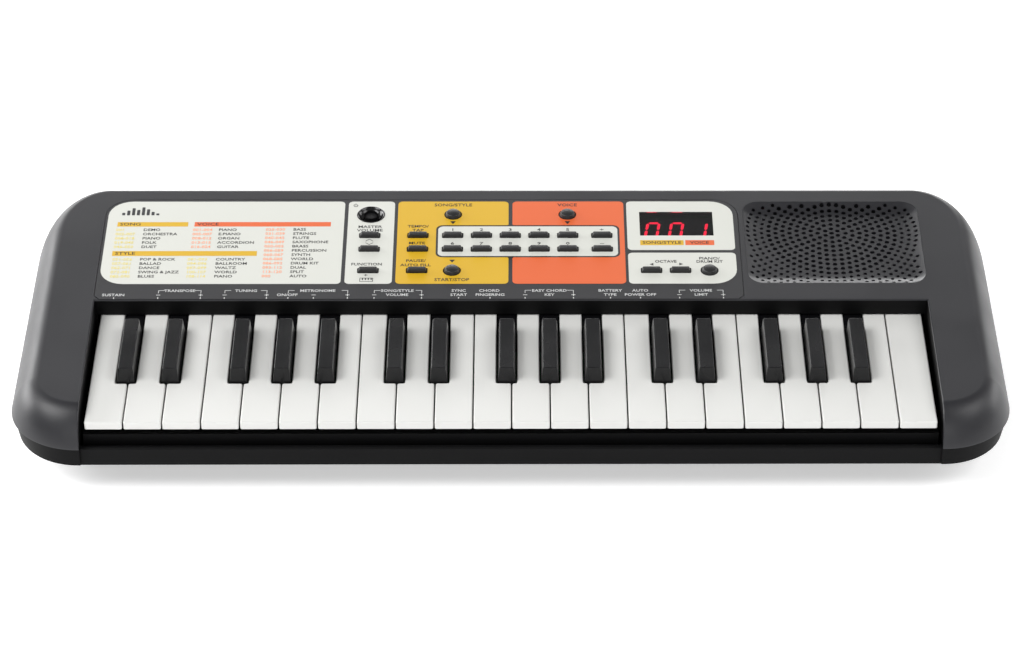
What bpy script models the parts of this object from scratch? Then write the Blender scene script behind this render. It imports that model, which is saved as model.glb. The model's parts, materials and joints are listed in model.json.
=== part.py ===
"""Toy electronic keyboard with three octaves of small keys, as separate pieces.

Frame: +X is the player's right, +Y points away from the player, +Z is up. The origin is on
the surface the keyboard stands on, below the middle of its outer box. Sizes are written in
millimetres and angles in degrees; meshes are made in metres.
"""

import math

import bmesh
import bpy
from mathutils import Matrix, Vector

MM = 0.001

# ---- keys: sizes ----
WHITE_COUNT = 22
KEY_PITCH = 19.41  # from one white key to the next
KEY_GAP = 0.7  # between two white keys
KEY_VISIBLE = 93.1  # length of a white key in front of the slot's rear wall
KEY_LIP = 4.5  # thickness of a key's top
KEY_CHAMFER = 0.6
BLACK_BASE = 9.1  # width of a black key where it meets the white ones
BLACK_TOP = 7.4
BLACK_RISE = 7.6  # height above the white keys
BLACK_REACH = 59.1  # from the slot's rear wall to a black key's front
BLACK_REAR = 13.4  # from the slot's rear wall to the back of its raised cap
BLACK_SLOPE = 1.6  # how far its front leans back
BLACK_ROOM = 0.75  # space on each side of it, in the white keys' notches
TAIL_DROP = 0.4  # a black key's tail lies this much below the white tops
PIVOT_BEHIND = 24.6  # pivot axis, behind the slot's rear wall
KNUCKLE_RADIUS = 2.5
STEM_AHEAD = 27.4  # the contact stem's middle, ahead of the slot's rear wall
STEM_LENGTH = 6.0
STEM_DEPTH = 2.5
# How far each black key sits to the right of the joint between its two white keys.
BLACK_SHIFT = {"c_sharp": -1.2, "d_sharp": 1.8, "f_sharp": -2.6, "g_sharp": 0.0, "a_sharp": 2.7}
WHITE_NOTES = ("c", "d", "e", "f", "g", "a", "b")
FIRST_OCTAVE = 2

# ---- case: sizes ----
DEPTH = 201.0
END_BLOCK = 37.1  # width of the case beside the keys
SLOT_SIDE_GAP = 2.4  # from the last key to the end block
KEY_SETBACK = 6.75  # from the case's front to the white keys' front
PANEL_FRONT_Z = 49.6  # height of the panel at the slot's rear wall
PANEL_TILT = 2.2
SLOT_WALL = 9.6  # from the panel's front edge down to the white keys
TAIL_ROOM = 0.5  # from the white keys' tops up to the slot's rear wall
SEAM_Z = 27.7
BELLY_Z = 3.0
WALL = 2.4
TOP_WALL = 2.6
GAP = 0.3  # between pieces that touch
FAR = 60.0  # how far a cutter reaches past what it cuts
CORNER_FRONT = 36.0
CORNER_BACK = 38.0
# Soft upper edge of the case, from the seam up to the panel. Lists go side, front, back.
SEAM_LAND = 0.6  # straight band above the seam
EDGE_IN = (15.0, 16.0, 4.0)  # how far the edge rounds in
EDGE_LEAN = (30.0, 30.0, 0.0)  # how much it leans where it starts
EDGE_BACK_DOWN = 4.0  # the back rounds down by this, the sides and the front down to the seam
# The bottom case's outline stands in from the top case's: at its rim, at the crisp edge where
# its walls end, and round the flat belly.
LOWER_RIM_IN = (1.0, 1.0, 1.0)
LOWER_EDGE_IN = (3.0, 1.0, 2.0)
BELLY_IN = (25.0, 26.5, 11.0)
LOWER_EDGE_Z = 17.4
BAR_SETBACK = 3.0
BAR_TOP_Z = 26.6
CORNER_STEPS = 7
EDGE_STEPS = 4

# ---- feet and battery bay ----
FOOT_RADIUS = 7.0
FOOT_X = 190.0
FOOT_FRONT_INSET = 31.5
FOOT_BACK_INSET = 26.0
BAY = (112.0, 32.0, 15.0)  # room for four cells in two rows: along X, along Y, deep
BAY_FRONT = 37.0  # from the slot's rear wall to the bay
BAY_WALL = 1.6
COVER_THICK = 1.8
COVER_LAP = 3.0  # the cover is this much larger than the bay on each side
TONGUE = 3.5
TONGUE_THICK = 0.8
COVER_TRAVEL = 12.0

# ---- panel: sizes, measured along the tilted panel from the slot's rear wall ----
SHEET_LEFT_PAST_SLOT = 0.4
SHEET_RIGHT = 120.5
SHEET_THICK = 0.8
SHEET_MARGIN_FRONT = 0.9
SHEET_MARGIN_BACK = 11.8
SHEET_CORNER = 14.0
SHEET_CHAMFER = 3.0
BAR_BUTTON = (10.0, 4.4)
ROUND_BUTTON_RADIUS = 4.3
POWER_BUTTON_RADIUS = 3.7
POWER_DISH_RADIUS = 7.5
POWER_DISH_DEPTH = 2.2
POWER_BOSS_DEPTH = 4.4
POWER_BOSS_WALL = 2.0
POWER_BUTTON_TOP = -1.0
BUTTON_ROOM = 0.45
BUTTON_RISE = 2.2
BUTTON_TAPER = 0.7  # a bar's top is narrower by this at each end
BUTTON_LEAN = 0.3  # and by this in front and behind
BUTTON_FLANGE = 1.2
FLANGE_LIP = 0.9
BUTTON_STEM_END = 5.5  # depth of a button's foot below the panel's surface
BOARD_TOP = 6.8  # depth of the main board's upper face below the panel's surface
BOARD_THICK = 1.6
WINDOW = (68.4, 56.7, 107.1, 78.3)
# Rows of buttons, as distances from the slot's rear wall.
ROW_FRONT = 25.5
ROW_LOWER = 44.5
ROW_UPPER = 56.8
ROW_BACK = 75.8
DIGIT_COLUMNS = (-31.4, -16.2, -0.9, 14.4, 29.6, 47.7)
BAR_BUTTONS = {
    "volume_up_button": (-75.3, ROW_UPPER),
    "volume_down_button": (-75.3, ROW_LOWER),
    "function_button": (-75.3, ROW_FRONT),
    "tempo_button": (-49.8, ROW_UPPER),
    "mute_button": (-49.8, ROW_LOWER),
    "pause_button": (-49.8, ROW_FRONT),
    "octave_down_button": (73.2, ROW_FRONT),
    "octave_up_button": (88.4, ROW_FRONT),
}
ROUND_BUTTONS = {
    "song_style_button": (DIGIT_COLUMNS[0], ROW_BACK),
    "start_stop_button": (DIGIT_COLUMNS[0], ROW_FRONT),
    "voice_button": (DIGIT_COLUMNS[4], ROW_BACK),
    "piano_drum_button": (103.6, ROW_FRONT),
}
POWER_BUTTON = (-75.2, ROW_BACK)

# ---- grille, speaker, boards ----
GRILLE_LEFT = SHEET_RIGHT + 2.9
GRILLE_PAST_SLOT = 1.2
GRILLE_FRONT = 14.6
GRILLE_BACK_MARGIN = 13.5
GRILLE_CORNER = 9.0
GRILLE_DEPTH = 2.0
GRILLE_WALL = 1.8
GRILLE_HOLE_RADIUS = 1.7
GRILLE_HOLES = 108  # spiral places; those outside the recess are left out
GRILLE_MARGIN = 5.0
GRILLE_RIM = 1.5
HOLE_REACH = 12.0
SPEAKER_RADIUS = 33.0
SPEAKER_DEPTH = 21.0
MAGNET_RADIUS = 17.0
SOCKET_X = {"power": 38.0, "headphone": 58.0}
SOCKET_Z = 38.5
SOCKET_BORE_RADIUS = 3.5
SOCKET_RIM = 0.8
SOCKET_BODY = 11.0
SOCKET_DEPTH = 13.0
FRAME_DECK_Z = 22.0
FRAME_DECK_THICK = 2.0
RAIL_WIDTH = 6.0
CONTACT_BOARD = (28.0, 1.6)  # along Y, thick
DOME_TOP_Z = 30.4
DOME_WIDTH = 6.0
POST_RADIUS = 4.0

# ---- places worked out from the sizes ----
SLOT_HALF = WHITE_COUNT * KEY_PITCH / 2 + SLOT_SIDE_GAP
HALF_WIDTH = SLOT_HALF + END_BLOCK
FRONT_Y = -DEPTH / 2
BACK_Y = DEPTH / 2
KEY_FRONT_Y = FRONT_Y + KEY_SETBACK
SLOT_Y = KEY_FRONT_Y + KEY_VISIBLE
KEY_TOP_Z = PANEL_FRONT_Z - SLOT_WALL
KEY_LOW_Z = KEY_TOP_Z - KEY_LIP
PIVOT_Y = SLOT_Y + PIVOT_BEHIND
PIVOT_Z = KEY_LOW_Z + KNUCKLE_RADIUS * 0.2
STEM_Y = SLOT_Y - STEM_AHEAD
STEM_LOW_Z = KEY_LOW_Z - STEM_DEPTH
SLOPE = math.tan(math.radians(PANEL_TILT))
PANEL_BACK = (BACK_Y - SLOT_Y) / math.cos(math.radians(PANEL_TILT))
SHEET_LEFT = -SLOT_HALF - SHEET_LEFT_PAST_SLOT
SHEET_BACK = PANEL_BACK - SHEET_MARGIN_BACK
GRILLE_RIGHT = SLOT_HALF + GRILLE_PAST_SLOT
GRILLE_BACK = PANEL_BACK - GRILLE_BACK_MARGIN
GRILLE_MIDDLE = ((GRILLE_LEFT + GRILLE_RIGHT) / 2, (GRILLE_FRONT + GRILLE_BACK) / 2)
FLANGE_TOP = -TOP_WALL - GAP
FLOOR_Z = BELLY_Z + WALL
BAY_LOW_Y = SLOT_Y + BAY_FRONT
COVER_Y = BAY_LOW_Y + BAY[1] / 2
COVER_HALF = (BAY[0] / 2 + COVER_LAP, BAY[1] / 2 + COVER_LAP)


# ---- collections, materials and mesh helpers ----
def clear_scene():
    for obj in list(bpy.data.objects):
        bpy.data.objects.remove(obj, do_unlink=True)


def make_collection(name):
    collection = bpy.data.collections.new(name)
    bpy.context.scene.collection.children.link(collection)
    return collection


clear_scene()
PARTS = make_collection("toy_keyboard")
CUTTERS = make_collection("cutters")


def finish(name, rgb, roughness, metallic=0.0):
    """A plain Principled material from a colour given as 0 to 255 sRGB numbers."""
    material = bpy.data.materials.new(name)
    material.use_nodes = True
    shader = material.node_tree.nodes["Principled BSDF"]
    linear = [(channel / 255) ** 2.2 for channel in rgb]
    shader.inputs["Base Color"].default_value = (*linear, 1)
    shader.inputs["Roughness"].default_value = roughness
    shader.inputs["Metallic"].default_value = metallic
    material.diffuse_color = (*linear, 1)
    return material


CHARCOAL = finish("charcoal_abs", (62, 61, 66), 0.45)
BLACK_ABS = finish("black_abs", (24, 24, 28), 0.4)
IVORY = finish("white_key_abs", (232, 232, 230), 0.3)
EBONY = finish("black_key_abs", (40, 40, 43), 0.25)
RUBBER = finish("button_rubber", (44, 46, 46), 0.6)
PRINT = finish("printed_sheet", (226, 230, 224), 0.4)
FIBREGLASS = finish("circuit_board", (30, 84, 52), 0.5)
STEEL = finish("speaker_steel", (120, 120, 124), 0.35, 1.0)
LED_HOUSING = finish("led_housing", (30, 20, 22), 0.35)
CHASSIS = finish("chassis_abs", (52, 52, 54), 0.6)


def add_object(name, bm, collection, parent=None):
    mesh = bpy.data.meshes.new(name)
    bm.to_mesh(mesh)
    bm.free()
    obj = bpy.data.objects.new(name, mesh)
    collection.objects.link(obj)
    obj.parent = parent
    return obj


def piece(name, bm, material, parent=None, origin=(0, 0, 0)):
    """A named part. Its mesh is given in its parent's frame and its origin is moved to a point."""
    obj = add_object(name, bm, PARTS, parent)
    point = Vector(origin) * MM
    obj.data.transform(Matrix.Translation(-point))
    obj.location = point
    obj.data.materials.append(material)
    return obj


def tool(name, bm, parent=None):
    """A helper shape that only cuts or joins."""
    obj = add_object(name, bm, CUTTERS, parent)
    obj.hide_render = True
    obj.display_type = "WIRE"
    return obj


def combine(target, other, operation):
    modifier = target.modifiers.new(other.name, "BOOLEAN")
    modifier.operation = operation
    modifier.object = other
    modifier.solver = "EXACT"


def cut(target, other):
    combine(target, other, "DIFFERENCE")


def join(target, other):
    combine(target, other, "UNION")


def add_box(bm, low, high):
    size = [(top - bottom) * MM for bottom, top in zip(low, high)]
    middle = [(top + bottom) / 2 * MM for bottom, top in zip(low, high)]
    matrix = Matrix.Translation(middle) @ Matrix.Diagonal((*size, 1))
    return bmesh.ops.create_cube(bm, size=1, matrix=matrix)["verts"]


def box(*corners):
    """One mesh of separate boxes, from pairs of low and high corners."""
    bm = bmesh.new()
    for low, high in corners:
        add_box(bm, low, high)
    return bm


def add_tapered_box(bm, low, high, side_in, front_in, back_in):
    """A box whose top is smaller than its base."""
    middle = [(bottom + top) / 2 * MM for bottom, top in zip(low, high)]
    for vert in add_box(bm, low, high):
        if vert.co.z > middle[2]:
            vert.co.x += (-side_in if vert.co.x > middle[0] else side_in) * MM
            vert.co.y += (-back_in if vert.co.y > middle[1] else front_in) * MM


def tapered_box(low, high, side_in, front_in, back_in):
    bm = bmesh.new()
    add_tapered_box(bm, low, high, side_in, front_in, back_in)
    return bm


def add_cylinder(bm, centre, radius, low, high, axis="Z", segments=16, top_radius=None):
    """A cylinder or cone; centre is its place across the axis, low and high its ends along it."""
    top_radius = radius if top_radius is None else top_radius
    turn = {
        "Z": Matrix.Identity(4),
        "Y": Matrix(((1, 0, 0, 0), (0, 0, 1, 0), (0, -1, 0, 0), (0, 0, 0, 1))),
        "X": Matrix(((0, 0, 1, 0), (1, 0, 0, 0), (0, 1, 0, 0), (0, 0, 0, 1))),
    }[axis]
    middle = (low + high) / 2
    place = {
        "Z": (centre[0], centre[1], middle),
        "Y": (centre[0], middle, centre[1]),
        "X": (middle, centre[0], centre[1]),
    }[axis]
    bmesh.ops.create_cone(
        bm,
        cap_ends=True,
        segments=segments,
        radius1=radius * MM,
        radius2=top_radius * MM,
        depth=(high - low) * MM,
        matrix=Matrix.Translation(Vector(place) * MM) @ turn,
    )


def cylinder(centre, radius, low, high, axis="Z", segments=16):
    bm = bmesh.new()
    add_cylinder(bm, centre, radius, low, high, axis, segments)
    return bm


def plate(outlines, low, high):
    """A flat sheet between two heights: the first outline is its edge, the others are holes."""
    curve = bpy.data.curves.new("outline", "CURVE")
    curve.dimensions = "2D"
    curve.fill_mode = "BOTH"
    curve.extrude = (high - low) / 2 * MM
    for outline in outlines:
        spline = curve.splines.new("POLY")
        spline.points.add(len(outline) - 1)
        for point, (x, y) in zip(spline.points, outline):
            point.co = (x * MM, y * MM, 0, 1)
        spline.use_cyclic_u = True
    guide = bpy.data.objects.new("outline", curve)
    mesh = bpy.data.meshes.new_from_object(guide)
    bm = bmesh.new()
    bm.from_mesh(mesh)
    bmesh.ops.remove_doubles(bm, verts=bm.verts, dist=1e-6)
    bmesh.ops.translate(bm, verts=bm.verts, vec=(0, 0, (low + high) / 2 * MM))
    bmesh.ops.recalc_face_normals(bm, faces=bm.faces)
    bpy.data.meshes.remove(mesh)
    bpy.data.objects.remove(guide)
    bpy.data.curves.remove(curve)
    return bm


def prism_x(profile, low, high):
    """A side profile of (y, z) points, drawn out along X."""
    bm = plate([profile], low, high)
    turn = Matrix(((0, 0, 1, 0), (1, 0, 0, 0), (0, 1, 0, 0), (0, 0, 0, 1)))
    bmesh.ops.transform(bm, matrix=turn, verts=bm.verts)
    return bm


def prism_y(profile, low, high):
    """A front profile of (x, z) points, drawn out along Y."""
    bm = plate([profile], low, high)
    turn = Matrix(((1, 0, 0, 0), (0, 0, -1, 0), (0, 1, 0, 0), (0, 0, 0, 1)))
    place = Matrix.Translation((0, (low + high) * MM, 0)) @ turn
    bmesh.ops.transform(bm, matrix=place, verts=bm.verts)
    return bm


def arc(centre, radius, start, end, steps):
    """Points along a circle, from one angle to another."""
    points = []
    for step in range(steps + 1):
        angle = math.radians(start + (end - start) * step / steps)
        points.append((centre[0] + radius * math.cos(angle), centre[1] + radius * math.sin(angle)))
    return points


def rectangle(left, low, right, high):
    return [(left, low), (right, low), (right, high), (left, high)]


def rounded_rectangle(left, low, right, high, radius, steps=4):
    corners = (
        ((right - radius, low + radius), -90),
        ((right - radius, high - radius), 0),
        ((left + radius, high - radius), 90),
        ((left + radius, low + radius), 180),
    )
    points = []
    for centre, start in corners:
        points += arc(centre, radius, start, start + 90, steps)
    return points


def loft(rings):
    """A closed skin over a stack of rings with the same number of points, bottom ring first."""
    bm = bmesh.new()
    rows = [[bm.verts.new(Vector(point) * MM) for point in ring] for ring in rings]
    for lower, upper in zip(rows, rows[1:]):
        for here in range(len(lower)):
            there = (here + 1) % len(lower)
            bm.faces.new((lower[here], lower[there], upper[there], upper[here]))
    bm.faces.new(rows[0][::-1])
    bm.faces.new(rows[-1])
    bmesh.ops.recalc_face_normals(bm, faces=bm.faces)
    return bm


# ---- the case's rounded shells ----
def shell_ring(insets, height):
    """One level of a shell: the case's outline, moved in by the side, front and back insets.

    height gives z from y and from back, which goes from 0 along a side to 1 along the back.
    """
    side, front, rear = insets
    ring = []
    corners = (
        (1, FRONT_Y, CORNER_FRONT, front, -90),
        (1, BACK_Y, CORNER_BACK, rear, 0),
        (-1, BACK_Y, CORNER_BACK, rear, 90),
        (-1, FRONT_Y, CORNER_FRONT, front, 180),
    )
    for sign_x, end_y, corner, end, start in corners:
        sign_y = 1 if end_y > 0 else -1
        centre_x = sign_x * (HALF_WIDTH - corner)
        centre_y = end_y - sign_y * corner
        for step in range(CORNER_STEPS + 1):
            angle = math.radians(start + 90 * step / CORNER_STEPS)
            x = centre_x + (corner - side) * math.cos(angle)
            y = centre_y + (corner - end) * math.sin(angle)
            back = math.sin(angle) ** 2 if end_y > 0 else 0
            ring.append((x, y, height(y, back)))
    return ring


def rounding(part, lean):
    """How far in and still to go up a rounded edge is at a part of its turn, as shares of it."""
    first = math.radians(lean)
    turn = first + (math.pi / 2 - first) * part
    across = (math.cos(first) - math.cos(turn)) / math.cos(first)
    down = (1 - math.sin(turn)) / (1 - math.sin(first))
    return across, down


def surface_z(y):
    """Height of the tilted upper surface."""
    return PANEL_FRONT_Z + (y - SLOT_Y) * SLOPE


def upper_shell(inset, base_z):
    under = inset / WALL * TOP_WALL
    rings = [shell_ring([inset] * 3, lambda y, back: base_z)]
    for step in range(EDGE_STEPS + 1):
        bends = [rounding(step / EDGE_STEPS, lean) for lean in EDGE_LEAN]
        insets = [inset + size * across for size, (across, _) in zip(EDGE_IN, bends)]
        down, back_down = bends[0][1], bends[2][1] * EDGE_BACK_DOWN

        def height(y, back):
            top = surface_z(y) - under
            return top - (1 - back) * down * (top - SEAM_Z - SEAM_LAND) - back * back_down

        rings.append(shell_ring(insets, height))
    return loft(rings)


def lower_shell(inset, rim_z):
    """Walls down from the seam to a crisp edge, then a slope in to the flat belly."""
    levels = [(BELLY_Z + inset, BELLY_IN), (LOWER_EDGE_Z + inset, LOWER_EDGE_IN), (rim_z, LOWER_RIM_IN)]
    rings = []
    for level, insets in levels:
        rings.append(shell_ring([inset + value for value in insets], lambda y, back: level))
    return loft(rings)


# ---- holes shared by the panel sheet and the case under it ----
def bar_hole(place, room=BUTTON_ROOM):
    half_x = BAR_BUTTON[0] / 2 + room
    half_y = BAR_BUTTON[1] / 2 + room
    x, y = place
    return rectangle(x - half_x, y - half_y, x + half_x, y + half_y)


def round_hole(place, radius, segments=16):
    return arc(place, radius, 0, 360 - 360 / segments, segments - 1)


def keypad_places():
    return [(x, y) for x in DIGIT_COLUMNS for y in (ROW_LOWER, ROW_UPPER)]


def button_holes():
    holes = [bar_hole(place) for place in list(BAR_BUTTONS.values()) + keypad_places()]
    holes += [round_hole(place, ROUND_BUTTON_RADIUS + BUTTON_ROOM) for place in ROUND_BUTTONS.values()]
    return holes


def sheet_outline(grow=0.0):
    left, right = SHEET_LEFT - grow, SHEET_RIGHT + grow
    low, high = SHEET_MARGIN_FRONT - grow, SHEET_BACK + grow
    radius = SHEET_CORNER + grow
    points = [(left + SHEET_CHAMFER, low), (right - SHEET_CHAMFER, low), (right, low + SHEET_CHAMFER)]
    points += arc((right - radius, high - radius), radius, 0, 90, 5)
    points += arc((left + radius, high - radius), radius, 90, 180, 5)
    points.append((left, low + SHEET_CHAMFER))
    return points


def stack(outlines, low, high):
    """One mesh that holds an upright block on each outline."""
    bm = bmesh.new()
    for outline in outlines:
        block = plate([outline], low, high)
        mesh = bpy.data.meshes.new("block")
        block.to_mesh(mesh)
        block.free()
        bm.from_mesh(mesh)
        bpy.data.meshes.remove(mesh)
    return bm


# ---- the case ----
def make_top_case(panel):
    case = piece("top_case", upper_shell(0, SEAM_Z), CHARCOAL)
    cavity = tool("top_cavity", upper_shell(WALL, SEAM_Z - 20))
    outer_half = SLOT_HALF + WALL
    wall_back = SLOT_Y + WALL
    low, high = FRONT_Y - FAR, PANEL_FRONT_Z + FAR
    rear_wall = ((-outer_half, low, KEY_TOP_Z + TAIL_ROOM), (outer_half, wall_back, high))
    cut(cavity, tool("slot_rear_wall", box(rear_wall)))
    left_wall = ((-outer_half, low, -FAR), (1 - SLOT_HALF, wall_back, high - 1))
    right_wall = ((SLOT_HALF - 1, low, -FAR), (outer_half, wall_back, high - 1))
    cut(cavity, tool("slot_side_walls", box(left_wall, right_wall)))
    pad = plate([grille_outline(GRILLE_RIM)], -GRILLE_DEPTH - GRILLE_WALL, FAR)
    cut(cavity, tool("grille_pad", pad, panel))
    boss_radius = POWER_DISH_RADIUS + POWER_BOSS_WALL
    boss = cylinder(POWER_BUTTON, boss_radius, -POWER_BOSS_DEPTH, FAR, segments=24)
    cut(cavity, tool("power_boss", boss, panel))
    cut(case, cavity)
    cut(case, tool("key_slot", box(((-SLOT_HALF, low, -FAR), (SLOT_HALF, SLOT_Y, high)))))
    recess = plate([sheet_outline(GAP)], -SHEET_THICK - GAP, FAR)
    cut(case, tool("sheet_recess", recess, panel))
    holes = button_holes() + [rectangle(*WINDOW)]
    cut(case, tool("panel_holes", stack(holes, -HOLE_REACH, HOLE_REACH), panel))
    dish = bmesh.new()
    hole_radius = POWER_BUTTON_RADIUS + BUTTON_ROOM
    low = -POWER_DISH_DEPTH
    add_cylinder(dish, POWER_BUTTON, hole_radius, low, GAP, segments=24, top_radius=POWER_DISH_RADIUS)
    cut(case, tool("power_dish", dish, panel))
    cut(case, tool("power_hole", cylinder(POWER_BUTTON, hole_radius, -HOLE_REACH, GAP), panel))
    cut(case, tool("grille_recess", plate([grille_outline(0)], -GRILLE_DEPTH, FAR), panel))
    cut(case, tool("grille_holes", grille_holes(), panel))
    sockets = bmesh.new()
    for x in SOCKET_X.values():
        radius = SOCKET_BORE_RADIUS + SOCKET_RIM
        add_cylinder(sockets, (x, SOCKET_Z), radius, BACK_Y - WALL * 3, BACK_Y + WALL, "Y")
    cut(case, tool("socket_holes", sockets))


def grille_outline(grow):
    edges = (GRILLE_LEFT - grow, GRILLE_FRONT - grow, GRILLE_RIGHT + grow, GRILLE_BACK + grow)
    return rounded_rectangle(*edges, GRILLE_CORNER + grow)


def grille_holes():
    """Sound holes set on a spiral, each a golden angle further round than the last."""
    bm = bmesh.new()
    half_x = (GRILLE_RIGHT - GRILLE_LEFT) / 2 - GRILLE_MARGIN
    half_y = (GRILLE_BACK - GRILLE_FRONT) / 2 - GRILLE_MARGIN
    spread = math.hypot(half_x, half_y) / math.sqrt(GRILLE_HOLES)
    for index in range(GRILLE_HOLES):
        angle = index * math.pi * (3 - math.sqrt(5))
        x = spread * math.sqrt(index + 0.5) * math.cos(angle)
        y = spread * math.sqrt(index + 0.5) * math.sin(angle)
        if abs(x) > half_x or abs(y) > half_y:
            continue
        centre = (GRILLE_MIDDLE[0] + x, GRILLE_MIDDLE[1] + y)
        add_cylinder(bm, centre, GRILLE_HOLE_RADIUS, -HOLE_REACH, HOLE_REACH, segments=6)
    return bm


def make_bottom_case():
    case = piece("bottom_case", lower_shell(0, SEAM_Z - GAP), BLACK_ABS)
    cavity = tool("bottom_cavity", lower_shell(WALL, SEAM_Z + 20))
    bar_face = FRONT_Y + BAR_SETBACK
    low, high = FRONT_Y - FAR, SEAM_Z + FAR
    outer_half = SLOT_HALF + WALL
    bar_back = ((-outer_half, low, -FAR), (outer_half, bar_face + WALL, high))
    cut(cavity, tool("bar_wall", box(bar_back)))
    posts = bmesh.new()
    for x, y in post_places():
        add_cylinder(posts, (x, y), POST_RADIUS, FLOOR_Z - 1, FRAME_DECK_Z - GAP, segments=10)
    cut(case, cavity)
    bar_front = ((-SLOT_HALF, low, -FAR), (SLOT_HALF, bar_face, high))
    cut(case, tool("bar_front", box(bar_front)))
    above_bar = ((-SLOT_HALF, low, BAR_TOP_Z), (SLOT_HALF, bar_face + WALL * 2, high))
    cut(case, tool("bar_top", box(above_bar)))
    join(case, tool("frame_posts", posts))
    floor, walls = bay_blocks()
    join(case, tool("bay_floor", floor))
    join(case, tool("bay_walls", walls))
    cut(case, tool("bay_room", bay_room()))
    cut(case, tool("cover_recess", cover_recess(0, -FAR)))
    groove_low = BELLY_Z + COVER_THICK - TONGUE_THICK - GAP
    cut(case, tool("cover_groove", cover_recess(TONGUE, groove_low)))
    feet = bmesh.new()
    for x, y in foot_places():
        add_cylinder(feet, (x, y), FOOT_RADIUS, 0, FLOOR_Z - 1, segments=20)
    join(case, tool("feet", feet))


def foot_places():
    ys = (FRONT_Y + FOOT_FRONT_INSET, BACK_Y - FOOT_BACK_INSET)
    return [(sign * FOOT_X, y) for sign in (-1, 1) for y in ys]


def post_places():
    half = SLOT_HALF - 20
    return [(x, y) for x in (-half, 0, half) for y in (KEY_FRONT_Y + 25, SLOT_Y - 6)]


def bay_blocks():
    """The thick floor that holds the cover's grooves, and the walls round the cells."""
    rim = BAY_WALL + COVER_LAP + TONGUE
    half = BAY[0] / 2
    ledge = BELLY_Z + COVER_THICK + GAP
    low = (-half - rim, BAY_LOW_Y - rim, BELLY_Z + 0.5)
    high = (half + rim, BAY_LOW_Y + BAY[1] + rim + COVER_TRAVEL, ledge + BAY_WALL)
    wall_low = (-half - BAY_WALL, BAY_LOW_Y - BAY_WALL, ledge)
    wall_high = (half + BAY_WALL, BAY_LOW_Y + BAY[1] + BAY_WALL, ledge + BAY[2] + BAY_WALL)
    return box((low, high)), box((wall_low, wall_high))


def bay_room():
    half = BAY[0] / 2
    top = BELLY_Z + COVER_THICK + GAP + BAY[2]
    return box(((-half, BAY_LOW_Y, -FAR), (half, BAY_LOW_Y + BAY[1], top)))


def cover_recess(widen, low):
    """Room for the cover and its travel; widen and low make the grooves for its tongues."""
    half_x = COVER_HALF[0] + widen + GAP
    near = COVER_Y - COVER_HALF[1] - GAP
    far = COVER_Y + COVER_HALF[1] + COVER_TRAVEL + 1
    return box(((-half_x, near, low), (half_x, far, BELLY_Z + COVER_THICK + GAP)))


def make_battery_cover():
    low_y, high_y = COVER_Y - COVER_HALF[1], COVER_Y + COVER_HALF[1]
    top = BELLY_Z + COVER_THICK
    outer = ((-COVER_HALF[0], low_y, BELLY_Z), (COVER_HALF[0], high_y, top))
    half = COVER_HALF[0] + TONGUE - GAP
    cover = piece("battery_cover", box(outer), BLACK_ABS, origin=(0, COVER_Y, BELLY_Z))
    tongue = ((-half, low_y + 1, top - TONGUE_THICK), (half, high_y - 1, top - 0.05))
    join(cover, tool("cover_tongues", box(tongue)))
    grip = bmesh.new()
    for index in range(4):
        y = high_y - 3 - 2.2 * index
        add_box(grip, (-9, y - 0.4, BELLY_Z - 0.6), (9, y + 0.4, BELLY_Z + 0.4))
    cut(cover, tool("cover_grip", grip))


# ---- keys ----
def key_profile(front, top_points):
    """Side view of a key, from its front round its top, its knuckle, its stem and back."""
    knuckle = arc((PIVOT_Y, PIVOT_Z), KNUCKLE_RADIUS, 75, -165, 8)
    stem = [
        (STEM_Y + STEM_LENGTH / 2, KEY_LOW_Z),
        (STEM_Y + STEM_LENGTH / 2 - 0.8, STEM_LOW_Z),
        (STEM_Y - STEM_LENGTH / 2 + 0.8, STEM_LOW_Z),
        (STEM_Y - STEM_LENGTH / 2, KEY_LOW_Z),
    ]
    heel = [(PIVOT_Y - KNUCKLE_RADIUS - 1.2, KEY_LOW_Z)]
    return top_points + knuckle + heel + stem + [(front, KEY_LOW_Z)]


def white_keys():
    """(note, octave, left edge of its share) of each white key."""
    keys = []
    left = -WHITE_COUNT * KEY_PITCH / 2
    for index in range(WHITE_COUNT):
        note = WHITE_NOTES[index % 7]
        octave = FIRST_OCTAVE + index // 7
        x = left + index * KEY_PITCH
        keys.append((note, octave, x))
    return keys


def black_keys():
    """(note, octave, middle) of each black key."""
    keys = []
    for note, octave, x in white_keys()[:-1]:
        sharp = note + "_sharp"
        if sharp in BLACK_SHIFT:
            keys.append((sharp, octave, x + KEY_PITCH + BLACK_SHIFT[sharp]))
    return keys


def make_white_keys():
    blacks = [x for _, _, x in black_keys()]
    front = KEY_FRONT_Y
    top = [(front, KEY_TOP_Z - KEY_CHAMFER), (front + KEY_CHAMFER, KEY_TOP_Z), (PIVOT_Y - 4, KEY_TOP_Z)]
    profile = key_profile(front, top)
    notch_front = SLOT_Y - BLACK_REACH - BLACK_ROOM
    notch_half = BLACK_BASE / 2 + BLACK_ROOM
    for note, octave, x in white_keys():
        left, right = x + KEY_GAP / 2, x + KEY_PITCH - KEY_GAP / 2
        name = f"white_key_{note}{octave}"
        centre = ((left + right) / 2, PIVOT_Y, PIVOT_Z)
        key = piece(name, prism_x(profile, left, right), IVORY, origin=centre)
        notches = []
        for black in blacks:
            low, high = black - notch_half, black + notch_half
            if high <= left or low >= right:
                continue
            low = left - 1 if low < left else low
            high = right + 1 if high > right else high
            notches.append(((low, notch_front, KEY_LOW_Z - 20), (high, PIVOT_Y + 20, KEY_TOP_Z + 20)))
        if notches:
            cut(key, tool(name + "_notch", box(*notches)))


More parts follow.
